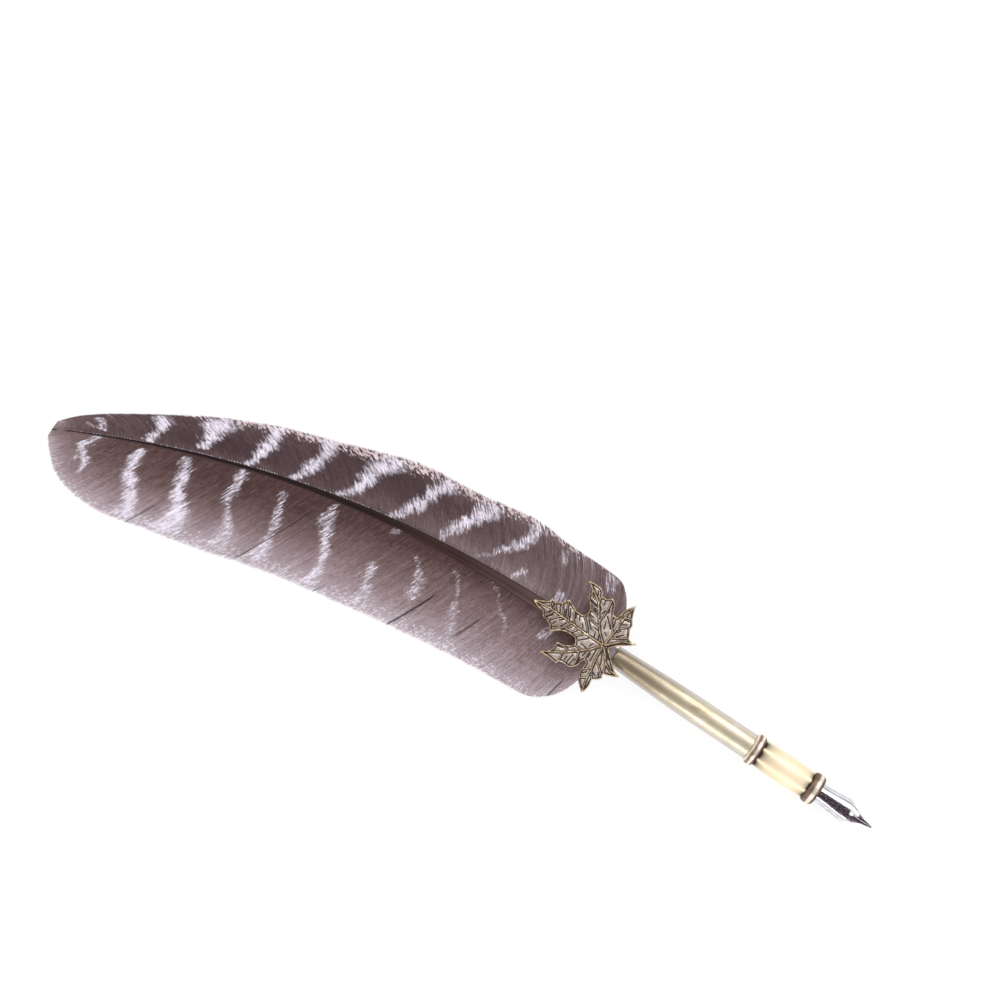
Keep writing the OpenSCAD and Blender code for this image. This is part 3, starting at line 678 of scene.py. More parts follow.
def filled(ring, spacing, keep_off):
    """Triangles inside a ring, with a hexagonal scatter of inner points."""
    lo, hi = ring.min(0), ring.max(0)
    gx = np.arange(lo[0], hi[0], spacing)
    gy = np.arange(lo[1], hi[1], spacing * 0.866)
    px, py = np.meshgrid(gx, gy, indexing="ij")
    px = px + (np.arange(len(gy)) % 2)[None, :] * spacing / 2
    pts = np.stack([px.ravel(), py.ravel()], 1)
    pts = pts[inside_polygon(pts, ring)]
    segments = np.stack([ring, np.roll(ring, -1, 0)], 1)
    pts = pts[distance_to(pts, segments) > keep_off]
    allp = np.concatenate([ring, pts])
    n = len(ring)
    edges = [(i, (i + 1) % n) for i in range(n)]
    vs, _, fs, *_ = delaunay_2d_cdt([Vector(v) for v in allp], edges, [], 1, 1e-7)
    vs = np.array([tuple(v) for v in vs])
    fs = np.array([list(f) for f in fs])
    centre = vs[fs].mean(1)
    return vs, fs[inside_polygon(centre, ring)]


def slab(tris, top, bottom, ring_n):
    """Closed solid between two mapped copies of a flat triangulation whose first points are its ring."""
    n = len(top)
    i = np.arange(ring_n)
    k = (i + 1) % ring_n
    walls = np.stack([i, k, k + n, i + n], -1)
    points = np.concatenate([top, bottom])
    faces = [*tris.tolist(), *(tris[:, ::-1] + n).tolist(), *walls.tolist()]
    return points, faces


vs, fs = filled(boundary, STEP, 0.06)
x, q = vs[:, 0], vs[:, 1]
half_arc = np.maximum(nib_edge(x), 0.05)
rel = np.abs(q) / half_arc
t_here = np.minimum(NIB_T, 0.8 * np.interp(x, stations[:, 0], stations[:, 1]
                                           / np.sin(stations[:, 3])))
reach = (x - MOUTH) / NIB_REACH
# pressed detail: a step behind the shoulders, a shallow dish round the vent, raised side lines
dish = 0.10 * np.exp(-(((x - HOLE_X) / 1.6) ** 2 + (q / 1.3) ** 2))
step_in = 0.07 * ease(0.44, 0.47, reach) * (1 - ease(0.50, 0.53, reach)) * (rel < 0.9)
side_line = 0.05 * bell(rel - 0.72, 0.05) * ease(0.02, 0.1, reach) * (1 - ease(0.38, 0.46, reach))
inset = np.clip(dish + step_in + side_line, 0, 0.14)
top = nib_at(x, q, inset)
bottom = nib_at(x, q, t_here + 0.6 * inset)
pts, faces = slab(fs, top, bottom, len(boundary))
# the dark band that the photo shows along the nib, partly ink and partly a painted dark reflection, its
# dark point, and a dark line beside each edge
band_mid = -0.30 - 0.28 * ease(0.0, 0.5, reach)
band_half = 1.05 + 0.45 * ease(0.0, 0.5, reach) + 0.12 * wave_noise(x * 1.3, 41)
ink_and_reflection = 1 - ease(0.8, 1.2, np.abs(q - band_mid) / band_half)
ink_and_reflection = np.maximum(ink_and_reflection * (1 - ease(0.52, 0.6, reach) * (q > 0.25)), ease(0.66, 0.74, reach) * 0.8)
ink_and_reflection = ink_and_reflection * ease(-0.02, 0.0, reach)
ink_and_reflection = np.maximum(ink_and_reflection, 0.62 * bell(rel - 0.80, 0.035) * ease(0.0, 0.1, reach)
                 * (1 - ease(0.48, 0.55, reach)))
ink_and_reflection = np.concatenate([ink_and_reflection, ink_and_reflection])
make("nib_sheet", pts, faces, "nib_body", nib_steel, {"ink_and_reflection": ink_and_reflection}, ["nib"])
# writing ball: a small flattened ball under the point
BALL_R = 0.3
ball_t = np.linspace(0, np.pi, 18)
ball_x = nib_hi - BALL_R + BALL_R * -np.cos(ball_t)
bp, bf = lathe(np.stack([ball_x, 0.9 * BALL_R * np.sin(ball_t) + 1e-4], 1), 28, closed=False)
bp = bp * [1, 1, 0.9] + [0, 0, 0.54 * TANG_R - 0.12]
make("nib_ball", bp, bf, "nib_body", nib_steel, {"ink_and_reflection": np.full(len(bp), 0.4)})

# ---- Feather curves -------------------------------------------------------------------------

QUILL_R, HAIR_R, VANE_T = 2.4, 0.15, 0.45
SHAFT_LIFT, SHAFT_DROP, DROP_POWER = 7.5, 44.9, 2.25
SHAFT_ARCH, TIP_RISE = 2.5, 0.75
ROOT_INSET, DROOP_POWER = 0.85, 1.6


def shaft_y(s):
    """Sideways place of the shaft's centre line at share s of its reach."""
    return SHAFT_LIFT * s - SHAFT_DROP * np.maximum(s, 0) ** DROP_POWER


def shaft_z(s):
    """Height of the centre line over the pen's axis: a low arch that comes down to the desk."""
    return SHAFT_ARCH * np.sin(np.pi * s) + (DESK + TIP_RISE) * s * s


def shaft_r(s):
    """Half-width of the shaft, tapering to a hair at the tip."""
    return HAIR_R + (QUILL_R - HAIR_R) * np.clip(1 - np.maximum(s, 0), 0, 1) ** 1.5


# each row: share s along the shaft, how far the barbs sweep back, and how wide the vane is there
leading_rows = [
    [0.024, 0.00, 0.64], [0.033, 0.04, 0.81], [0.044, 0.13, 0.94], [0.069, 0.26, 0.96],
    [0.12, 0.42, 0.96], [0.175, 0.53, 1.00], [0.265, 0.62, 0.89], [0.35, 0.75, 0.86],
    [0.43, 0.88, 0.73], [0.51, 0.92, 0.64], [0.59, 0.88, 0.565], [0.67, 0.82, 0.43],
    [0.74, 0.72, 0.30], [0.81, 0.58, 0.22], [0.88, 0.44, 0.165], [0.94, 0.28, 0.13],
    [0.985, 0.12, 0.08]]
trailing_rows = [
    [0.024, 0.01, 0.365], [0.033, 0.03, 0.535], [0.044, 0.07, 0.65], [0.063, 0.12, 0.74],
    [0.108, 0.20, 0.78], [0.164, 0.29, 0.815], [0.265, 0.35, 0.88], [0.37, 0.40, 0.93],
    [0.485, 0.43, 0.96], [0.60, 0.46, 1.00], [0.695, 0.46, 0.97], [0.77, 0.43, 0.92],
    [0.83, 0.40, 0.805], [0.887, 0.35, 0.605], [0.937, 0.26, 0.33], [0.977, 0.12, 0.13]]


def vane_point(s, u, r, width, side, low):
    """Lower face of a vane at share s of the shaft and share u of the way to its edge."""
    sweep, wide = np.interp(s, r[:, 0], r[:, 1]), np.interp(s, r[:, 0], r[:, 2])
    rx, ry, rz = -REACH * s, shaft_y(s), shaft_z(s)
    inset = side * ROOT_INSET * shaft_r(s)
    edge_z = DESK + 0.1 + 0.65 * ((s - low) / (1 - low)) ** 2
    return np.stack([rx - sweep * width * u, ry + inset + (side * wide * width - inset) * u,
                     rz + (edge_z - rz) * np.clip(u, 0, None) ** DROOP_POWER], -1)


# ---- Markings -------------------------------------------------------------------------------
# Each bar: [strength, then points along its middle: (share of the way out in hundredths, place
# along the shaft in thousandths, half-width in thousandths)].
leading_bars = [
    [1.1, (0, 121, 9), (14, 120, 9), (24, 118, 4)],
    [0.5, (70, 54, 4), (95, 52, 8)],
    [0.5, (62, 124, 5), (88, 114, 10)],
    [0.9, (20, 252, 5), (34, 230, 7), (43, 214, 9), (56, 196, 10), (70, 181, 10), (88, 168, 14)],
    [0.9, (0, 219, 7), (10, 207, 8), (22, 191, 5)],
    [0.5, (0, 296, 6), (10, 275, 6), (20, 252, 6)],
    [1.0, (4, 345, 4), (12, 339, 7), (27, 319, 10), (43, 298, 13), (56, 281, 11), (70, 262, 16),
     (88, 243, 22)],
    [1.1, (0, 444, 5), (9, 423, 10), (23.5, 398, 12), (38, 377, 10), (51.5, 360, 10), (65, 347, 8),
     (80, 324, 12), (90, 316, 14)],
    [1.2, (3, 530, 5), (7, 519, 8), (20, 491, 9), (37, 469, 9), (50, 455, 12), (65, 438, 14),
     (80, 408, 22), (90, 398, 20)],
    [1.1, (2, 613, 5), (18, 584, 9), (32, 564, 12), (46, 546, 11), (59, 523, 8), (70, 512, 10),
     (85, 500, 14)],
    [1.3, (3, 690, 5), (15, 671, 7), (35, 648, 8), (49, 630, 14), (62, 616, 13), (72, 604, 10),
     (85, 592, 14)],
    [1.4, (16, 755, 6), (32, 740, 10), (47, 724, 14), (62, 708, 18), (77, 694, 23), (87, 688, 20)],
    [1.4, (5, 846, 4), (12, 844, 7), (29, 832, 8), (44, 817, 8), (59, 806, 13), (77, 795, 19),
     (90, 792, 15)],
    [0.8, (22, 912, 4), (35, 920, 10), (50, 910, 6), (62, 907, 6), (82, 909, 8)],
    [0.6, (35, 926, 7), (50, 934, 6), (62, 938, 4)]]
trailing_bars = [
    [1.0, (6, 109, 6), (16, 111, 8), (26, 113, 4)],
    [0.52, (3, 232, 4), (19, 196, 5), (35, 163, 5), (44, 155, 4)],
    [0.5, (12, 288, 4), (38, 245, 5), (55, 229, 6), (80, 201, 10), (94, 194, 12)],
    [0.68, (19, 352, 4), (29, 326, 6), (46, 306, 8), (59, 298, 6)],
    [0.78, (44, 388, 6), (55, 376, 6), (65, 366, 7), (77, 344, 11), (91, 345, 12)],
    [0.9, (0, 418, 6), (5, 418, 5)],
    [0.95, (5, 524, 5), (19, 514, 11), (29, 500, 10), (44, 474, 9), (56, 454, 7), (74, 433, 8),
     (90, 423, 12)],
    [0.85, (12, 602, 4), (27, 582, 6), (44, 556, 7), (56, 546, 7), (70, 530, 10), (88, 518, 12)],
    [0.8, (43, 643, 6), (59, 612, 7), (70, 592, 12), (86, 587, 14)],
    [1.15, (3, 690, 6), (10, 680, 8), (22, 666, 8), (32, 658, 7), (39, 652, 4)],
    [1.3, (7, 774, 5), (16, 763, 9), (25, 750, 9), (35, 737, 9), (49, 719, 11), (65, 689, 14),
     (78, 672, 19), (92, 674, 20)],
    [1.25, (11, 843, 6), (28, 832, 10), (43, 816, 10), (53, 797, 13), (65, 776, 12), (78, 755, 8),
     (90, 740, 16)],
    [1.0, (5, 924, 3), (26, 919, 4), (40, 920, 10), (47, 909, 14), (55, 890, 14), (62, 880, 10),
     (74, 870, 5)],
    [0.5, (50, 909, 6), (66, 900, 4)]]


def bar_field(s, u, bars):
    """How far inside a white bar each point is: about 1 on a bar's middle, 0 off it."""
    field = np.zeros_like(s)
    fade = 0.78 + 0.22 * ease(0.1, 0.5, u)
    for number, (strength, *line) in enumerate(bars):
        out, place, wide = (np.array(line) / (100, 1000, 1000)).T
        mid, half = np.interp(u, out, place), np.interp(u, out, wide)
        half = half * (1 + 0.35 * wave_noise(u * 9 + 5.7 * number, 72, 2))
        patchy = fade * (1 + 0.26 * wave_noise(u * 8 + 3.1 * number, 71, 3))
        ends = ease(out[0] - 0.05, out[0] + 0.01, u) * (1 - ease(out[-1] - 0.02, out[-1] + 0.09, u))
        near = bell(s - mid, 1.08 * half + 0.0010)
        field = np.maximum(field, min(strength, 1.2) * patchy * near * ends)
    return field


# ---- Vanes ----------------------------------------------------------------------------------

def vane(name, node, rows, width, side, low, count, bow, reach_cut, bars, splits, tone_of,
         margin_of, material, seed, fan=None):
    """Builds a vane barb by barb: every barb is its own closed, ridged, tapering ribbon."""
    rng = np.random.default_rng(seed)
    first, last = rows[0][0], rows[-1][0]
    rows = smooth_rows(rows, 12)
    s_k = first + (last - first) * (np.arange(count) + 0.5) / count
    extra = 0 if fan is None else len(fan[0])
    if extra:
        s_k = np.concatenate([s_k, np.linspace(last, last + 0.006, extra)])
        count = len(s_k)
    u = np.concatenate([np.linspace(0, 0.9, 38), np.linspace(0.92, 1, 7)])
    m = len(u)
    cut = np.array(reach_cut)
    calm = ease(0.06, 0.2, s_k)
    end = np.interp(s_k, cut[:, 0], cut[:, 1]) - (0.002 + 0.010 * calm) * rng.random(count) ** 1.5
    end += 0.008 * calm * wave_noise(s_k * 60, seed + 1)
    end -= 0.03 * (rng.random(count) < 0.03 * calm)
    end = np.minimum(end, 1)
    U = u[None, :] * end[:, None]
    S = s_k[:, None] + bow(s_k)[:, None] * 4 * U * (1 - U)
    S = S + 0.0016 * wave_noise(s_k * 45, seed + 2)[:, None] * U ** 2
    S = S + 0.0008 * wave_noise(s_k[:, None] * 6 + U * 2.0, seed + 3, 3) * U
    gap = np.gradient(s_k)[:, None]
    P = vane_point(S, U, rows, width, side, low)
    D = (vane_point(S + gap / 2, U, rows, width, side, low)
         - vane_point(S - gap / 2, U, rows, width, side, low))
    if extra:
        # barbs closing the feather's tip, turning from this vane's last barb to the other's
        ends, other = fan
        share = np.linspace(0, 1, extra + 1)[1:, None, None]
        mine, theirs = P[-extra - 1].copy(), other(u)
        root = (1 - share) * mine[0] + share * theirs[0]
        curl = ((1 - share) * (mine - mine[0] - (mine[-1] - mine[0]) * u[:, None])
                + share * (theirs - theirs[0] - (theirs[-1] - theirs[0]) * u[:, None]))
        P[-extra:] = root + (ends[:, None] - root) * u[None, :, None] + curl
        D[-extra:] = np.gradient(P[-extra - 1:], axis=0)[1:] * 1.25
    # barbs clump: each clump leans together near the edge, which opens fine gaps
    lean = 0.35 * wave_noise(s_k * 150, seed + 4, 3)[:, None] * ease(0.6, 1.0, U)
    thick = np.minimum(VANE_T, shaft_r(S)) * (1 - 0.5 * U)
    lift = 0.22 * (wave_noise(s_k * 22, seed + 5)[:, None] + 1) * np.sin(np.pi * U) ** 2
    # painted shadow: a dark line along a split, where the lifted barbs overlap their neighbours
    dark = np.zeros_like(U)
    for s_at, u0, u1, open_by in splits:
        near = np.exp(-np.maximum(s_k[:, None] - s_at, 0) / 0.012) * (s_k[:, None] >= s_at)
        window = ease(u0, u0 + 0.12, U) * (1 - ease(u1, u1 + 0.15, U) * (u1 < 0.9))
        lean = lean - open_by * near * window
        lift = lift + 0.14 * near * window
        dark = np.maximum(dark, bell(s_k[:, None] - s_at, 0.7 * gap) * window)
    P = P + D * lean[..., None]
    zone = (0.012 + 0.028 * calm)[:, None]
    taper = np.clip((end[:, None] - U) / (zone * end[:, None]), 0, 1) ** 0.6
    W = 0.5 * (1.16 - 0.10 * U) * (0.14 + 0.86 * taper)
    # four corners: left edge, ridge, right edge and the line under them, slightly tilted like tiles
    up = thick[..., None] * np.array([0, 0, 1.0])
    under = P + (lift + 0.12 * thick)[..., None] * np.array([0, 0, 1.0])
    across = D * W[..., None]
    pts = np.stack([under - across + 0.26 * up, under + 0.46 * up, under + across + 0.42 * up, under], 2)
    pts[..., 2] = np.maximum(pts[..., 2], DESK + 0.04)
    one = grid(m, 4, wrap=True)
    caps = np.array([[0, 1, 2, 3], [4 * m - 1, 4 * m - 2, 4 * m - 3, 4 * m - 4]])
    one = np.concatenate([one, caps])
    faces = (one[None] + (np.arange(count) * 4 * m)[:, None, None]).reshape(-1, 4)
    if side > 0:
        faces = faces[:, ::-1]
    jump = 0.0060 * (rng.random(count) - 0.5)[:, None] + 0.005 * wave_noise(
        s_k[:, None] * 110 + U * 3, seed + 6, 2)
    bar = bar_field(S + jump, U, bars)
    comb = (np.arange(count) % 2)[:, None] * ease(0.4, 0.52, S) * (1 - ease(0.015, 0.06, U))
    bar = np.maximum(bar, 0.62 * comb * (side > 0))
    # painted shadow beside the shaft on the trailing vane's outer part
    if side < 0:
        dark = np.maximum(dark, ease(0.62, 0.75, S) * np.exp(-U * width / 0.55))

    def four(a):
        return np.repeat(a[..., None], 4, 2)

    ribs = np.broadcast_to(np.array([0.0, 0.5, 1.0, 0.5]), (count, m, 4))
    # brightness that varies at random barb by barb; the extra contrast at the leading vane's base is
    # painted sheen
    own = 0.5 * wave_noise(s_k[:, None] * 330 + U * 1.2, seed + 7, 2)
    own = np.clip(own + 0.14 * rng.standard_normal(count)[:, None], -0.5, 0.5)
    own = 0.97 + (0.28 + 0.30 * (1 - ease(0.05, 0.32, S)) * (side > 0)) * own
    attributes = {
        "along": four(S), "out": four(U), "home": four(np.broadcast_to(s_k[:, None], U.shape)),
        "barb": four(own), "bar": four(bar), "tone": four(tone_of(S, U)), "margin": four(margin_of(S, U)),
        "shadow_line": four(dark), "rib": ribs}
    make(name, pts.reshape(-1, 3), faces, "pen", material, attributes, [node],
         tidy=False)


def looked_up(s, u, at, rows):
    """Value between the rows of a table of hundredths: a row is its place s, then values at shares u."""
    rows = np.array(rows) / 100
    places = rows[:, 0]
    values = np.stack([np.interp(u, at, row[1:]) for row in rows])
    k = np.clip(np.searchsorted(places, s) - 1, 0, len(rows) - 2)
    share = ease(np.take(places, k), np.take(places, k + 1), s)
    low = np.take_along_axis(values, k[None], 0)[0]
    high = np.take_along_axis(values, k[None] + 1, 0)[0]
    return low + (high - low) * share


def leading_tone(s, u):
    return looked_up(s, u, [0, 0.09, 0.25, 0.45, 0.65, 1], [
        [8, 20, 22, 26, 33, 38, 38], [20, 19, 21, 42, 58, 64, 50], [30, 26, 29, 54, 69, 73, 60],
        [42, 48, 53, 62, 81, 92, 85], [57, 64, 70, 80, 81, 75, 72], [72, 66, 70, 89, 92, 75, 70],
        [87, 62, 65, 70, 70, 66, 66], [95, 62, 62, 62, 60, 56, 52], [99, 42, 40, 34, 28, 20, 12]])


def leading_margin(s, u):
    edge = np.interp(s, [0, 0.1, 0.3, 0.45, 0.62, 0.7, 0.85, 1],
                     [0.88, 0.84, 0.76, 0.72, 0.71, 0.80, 0.95, 1.0])
    return ease(edge - 0.12, edge + 0.24, u) * np.interp(
        s, [0, 0.05, 0.12, 0.4, 0.5, 0.68, 0.76, 0.9], [0.3, 0.4, 0.82, 0.86, 1.0, 1.0, 0.55, 0.3])


def trailing_tone(s, u):
    return looked_up(s, u, [0, 0.09, 0.25, 0.45, 0.65, 0.83, 1], [
        [8, 72, 68, 56, 47, 31, 18, 5], [20, 86, 84, 63, 51, 33, 20, 5],
        [30, 97, 95, 73, 58, 38, 18, 3], [42, 100, 100, 80, 60, 35, 19, 2],
        [57, 100, 100, 93, 70, 39, 19, 2], [72, 97, 97, 93, 75, 42, 21, 4],
        [87, 91, 91, 84, 74, 51, 29, 8], [98, 60, 60, 58, 50, 38, 22, 5]])


def trailing_margin(s, u):
    return ease(0.56, 1.06, u) * np.interp(s, [0, 0.1, 0.2, 0.7, 0.85, 1],
                                           [0.50, 0.68, 0.76, 0.78, 0.6, 0.4])


def last_trailing_barb(u):
    s = 0.976 - 0.016 * u * (1 - u)
    return vane_point(s, 0.99 * u, smooth_rows(trailing_rows, 12), TRAIL_W, -1, TRAIL_LOW)


round_tip = np.linspace(0, 1, 31)[1:]
tip_end = last_trailing_barb(np.array([1.0]))[0]
tip_start = vane_point(0.985, 1.0, smooth_rows(leading_rows, 12), LEAD_W, 1, LEAD_LOW)
tip_ends = tip_start + (tip_end - tip_start) * round_tip[:, None]
tip_ends[:, 0] -= ((tip_ends[:, 0] + REACH - 0.05) * ease(0, 0.25, round_tip)
                   * (1 - ease(0.75, 1, round_tip)))
vane("leading_barbs", "leading_vane", leading_rows, LEAD_W, 1, LEAD_LOW, 400,
     lambda s: -0.010 + 0.002 * s,
     [(0, 0.99), (0.38, 0.99), (0.45, 0.95), (0.5, 0.91), (0.58, 0.90), (0.65, 0.91),
      (0.70, 0.95), (0.77, 0.98), (0.85, 1.0), (1, 1.0)],
     leading_bars,
     [(0.822, 0.3, 0.75, 0.3), (0.10, 0.70, 1.0, 0.3), (0.33, 0.80, 1.0, 0.3)],
     leading_tone, leading_margin, leading_look, 11, (tip_ends, last_trailing_barb))
vane("trailing_barbs", "trailing_vane", trailing_rows, TRAIL_W, -1, TRAIL_LOW, 380,
     lambda s: -0.004 + 0 * s, [(0, 0.99), (0.9, 0.985), (1, 1.0)],
     trailing_bars,
     [(0.199, 0.36, 0.70, 0.4), (0.281, 0.38, 0.99, 0.5), (0.542, 0.12, 0.86, 0.3),
      (0.726, 0.62, 0.92, 0.4), (0.046, 0.6, 1.0, 0.5), (0.405, 0.82, 1.0, 0.5)],
     trailing_tone, trailing_margin, trailing_look, 23)

# ---- Shaft ----------------------------------------------------------------------------------

SIDES = 28
inner = [(18, 0.30), (17.7, 0.55), (17, 0.74), (15, 1.0), (9, 1.0), (4, 1.0), (0, 1.0)]
rings, along, across = [], [], []
turn = 2 * np.pi * (np.arange(SIDES) + 0.5) / SIDES


def ring_at(centre, r, square):
    """Points round the shaft at one place, from a circle at square 0 to a rounded square."""
    power = 2 / (2 + square)
    c, q = np.cos(turn), np.sin(turn)
    return centre + r * np.stack([0 * c, np.sign(c) * np.abs(c) ** power,
                                  np.sign(q) * np.abs(q) ** power], 1)


for x_in, share in inner:
    rings.append(ring_at(np.array([x_in, 0, 0]), share * QUILL_R, 0))
    along.append(0 * turn)
    across.append(np.cos(turn))
for s in np.linspace(0, 1, 150)[1:] ** 1.15:
    r = shaft_r(s)
    ring = ring_at(np.array([-REACH * s, shaft_y(s), shaft_z(s)]), r, min(s * 12, 1.2))
    # flutes along the back, deeper where the shaft is thick
    flute = 0.045 * r * (np.cos(9 * turn) * (np.sin(turn) > 0)) * min(s * 10, 1)
    ring[:, 2] += flute - 0.05 * r * bell(np.cos(turn) - 0.08, 0.14) * (np.sin(turn) > 0)
    rings.append(ring)
    along.append(s + 0 * turn)
    across.append(np.cos(turn))
pts = np.concatenate(rings)
faces = [*grid(len(rings), SIDES, wrap=True).tolist(), list(range(SIDES))[::-1],
         [(len(rings) - 1) * SIDES + i for i in range(SIDES)]]
make("feather_rachis", pts, faces, "pen", feather_shaft,
     {"along": np.concatenate(along), "across": np.concatenate(across)}, ["quill_shaft"])

# ---- Maple leaf -----------------------------------------------------------------------------

leaf_outline = [
    [-25, -0.2], [-22.6, 1.1], [-20.9, 2], [-20.6, 3.3], [-19, 2.9], [-17.2, 3.9], [-16.1, 5.8],
    [-14.2, 5], [-12.3, 4.2], [-10.6, 4.1], [-9.7, 4.5],
    [-9.2, 5.6], [-9.4, 7], [-10.4, 8.2], [-12, 9.8], [-11.6, 11.2], [-12.6, 12.5], [-14.4, 13.6],
    [-12.4, 14], [-10, 13.9], [-8.9, 13.1], [-8.4, 12.1], [-6.8, 12.1], [-5.4, 13.3], [-4, 12.3],
    [-2.9, 9.9], [-2.4, 9.3], [-1.2, 9.2],
    [-0.9, 10.6], [-0.4, 12.5], [0.6, 14], [1.6, 15.3], [2.2, 13.2], [2.8, 11.6], [4.1, 9.5],
    [4, 8.4], [4.8, 6.8], [5.4, 5.8],
    [6.6, 5.5], [8.2, 5.7], [6.8, 4.4], [4, 2.4], [1.9, 0.1],
    [4, -1.9], [6, -3.8], [7.6, -4.8], [9.2, -5.2], [7.2, -6.4], [4.7, -7.3], [5.1, -8.6],
    [3.8, -9.9], [2.9, -10.6],
    [3.1, -12.4], [2.9, -14.4], [2.2, -15.3], [0, -13.4], [-1.1, -11.8], [-1.6, -9.8], [-1.5, -7.3],
    [-2.3, -6.9],
    [-2.9, -7.8], [-3, -9], [-4.2, -10.6], [-5.4, -11.1], [-7.2, -11], [-8.4, -11.3], [-9, -12.3],
    [-11.8, -12], [-15.1, -12], [-13.2, -10.6], [-12, -8.9], [-12.1, -6.8], [-10, -6.4],
    [-8.2, -5.4], [-7.4, -4.3], [-8, -3.2], [-9, -2.7],
    [-11.6, -2.8], [-13.4, -3.6], [-15.7, -5.3], [-16.9, -3.8], [-18.4, -3.1], [-20, -2.8],
    [-20.8, -1.4], [-22.8, -1.2]]
main_veins = [
    [[0, 0], [-5, 0], [-12, 0.3], [-20, 0.5], [-24, -0.2]],
    [[0, 0], [-3.2, 2.8], [-5, 5.2], [-8.6, 10.2], [-13.6, 13.4]],
    [[0, 0], [0.5, 4], [0.6, 8.5], [0.9, 12], [1.5, 14.7]],
    [[0, 0], [1.6, 1.6], [4.2, 4.2], [7.6, 5.4]],
    [[0, 0], [1.8, -1.8], [3.2, -3.8], [5.6, -5.2], [8.6, -5.3]],
    [[0, 0], [0.3, -4.5], [0.9, -7.5], [1.3, -11], [2.2, -14.6]],
    [[0, 0], [-2.4, -2.9], [-5.2, -5.6], [-9, -8.4], [-14.2, -11.6]]]
side_veins = [
    [[-5.6, 0], [-9.6, 4.2]], [[-10.4, 0.2], [-12.8, 4]], [[-12.6, 0.3], [-15.9, 5.3]],
    [[-14.8, 0.3], [-17.1, 3.6]], [[-17, 0.4], [-18.8, 2.7]], [[-19.2, 0.5], [-20.4, 2.9]],
    [[-6.2, 0], [-8.6, -2.6]], [[-9, 0.1], [-10.8, -2.6]], [[-11.6, 0.3], [-15.4, -4.8]],
    [[-15.2, 0.3], [-18, -2.9]], [[-18, 0.4], [-19.8, -2.5]],
    [[-4.2, 4], [-9, 5]], [[-5.6, 6], [-9.4, 7]], [[-7.2, 8.2], [-11.3, 9]],
    [[-8.6, 10.2], [-11.6, 11]], [[-4.9, 5.2], [-5.3, 12.9]], [[-7.4, 8.6], [-8.5, 11.9]],
    [[0.5, 4.5], [-2.7, 9.2]], [[0.6, 8.8], [-0.7, 11]], [[0.6, 6], [4, 8.8]],
    [[0.8, 10.4], [3, 11]], [[0.5, 3], [5, 6]],
    [[1.8, -1.8], [4.6, -7.1]], [[0.5, -5], [4.8, -8.4]], [[1, -8], [2.9, -10.4]],
    [[0.9, -7], [-1.4, -9.4]], [[1.3, -10.4], [-0.8, -12]],
    [[-2.4, -2.9], [-2.4, -6.8]], [[-4.2, -4.6], [-7.5, -4.4]], [[-5.2, -5.6], [-4.2, -10.3]],
    [[-7.4, -7.2], [-11.8, -6.9]], [[-9, -8.4], [-9, -12]]]

leaf_lo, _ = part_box("maple_leaf")
corner = np.array(leaf_outline)
HUB = (np.array(leaf_lo) - TAIL)[:2] * 1000 - corner.min(0)
LEAF_Z = (leaf_lo.z - TAIL[2]) * 1000
PLATE, RELIEF = 0.8, 0.4

closed = np.concatenate([corner[-1:], corner, corner[:2]])
ring = []
for i in range(1, len(corner) + 1):
    a, b, c, d = closed[i - 1], closed[i], closed[i + 1], closed[i + 2]
    steps = max(3, int(np.linalg.norm(c - b) / 0.17))
    for part in np.arange(steps) / steps:
        ring.append(0.45 * curve_at(part, a, b, c, d) + 0.55 * (b + part * (c - b)))
ring = np.array(ring)
ring = np.clip(ring, corner.min(0), corner.max(0))
vs, fs = filled(ring, 0.15, 0.07)
edge_lines = np.stack([ring, np.roll(ring, -1, 0)], 1)
d_edge = distance_to(vs, edge_lines)


def segments_of(lines, w0, w1):
    """The straight pieces of some lines, and the half-widths at their ends as each line narrows."""
    segs, halves = [], []
    for line in lines:
        n = len(line) - 1
        for i in range(n):
            segs.append([line[i], line[i + 1]])
            halves.append([(w0 + (w1 - w0) * i / n) / 2, (w0 + (w1 - w0) * (i + 1) / n) / 2])
    return np.array(segs, float), np.array(halves)


def bent(lines, sag):
    """Short straight veins given a slight curve, so that they look modelled by hand."""
    out = []
    for k, (a, b) in enumerate(lines):
        a, b = np.array(a, float), np.array(b, float)
        side = np.array([-(b - a)[1], (b - a)[0]]) * sag * (1 if k % 3 else -0.6)
        out.append([a, a + 0.35 * (b - a) + side, a + 0.7 * (b - a) + side * 0.8, b])
    return out


ms, mh = segments_of(main_veins, 0.42, 0.26)
ss, sh = segments_of(bent(side_veins, 0.07), 0.20, 0.18)
d_main = distance_to(vs, ms, mh)
d_side = distance_to(vs, ss, sh)
d_rim = np.abs(d_edge - 0.19) - 0.19
# which side of the nearest vein a point is on: one side of every vein gets painted shade
d_vein = np.minimum(d_main, d_side)
beside = vs + 0.05 * np.array([0.98, -0.2])
lee = (np.minimum(distance_to(beside, ms, mh), distance_to(beside, ss, sh)) - d_vein) / 0.05
lee = np.where(d_rim < d_vein, 0.5, np.clip(lee, -1, 1))
d_all = np.minimum(d_vein, d_rim)
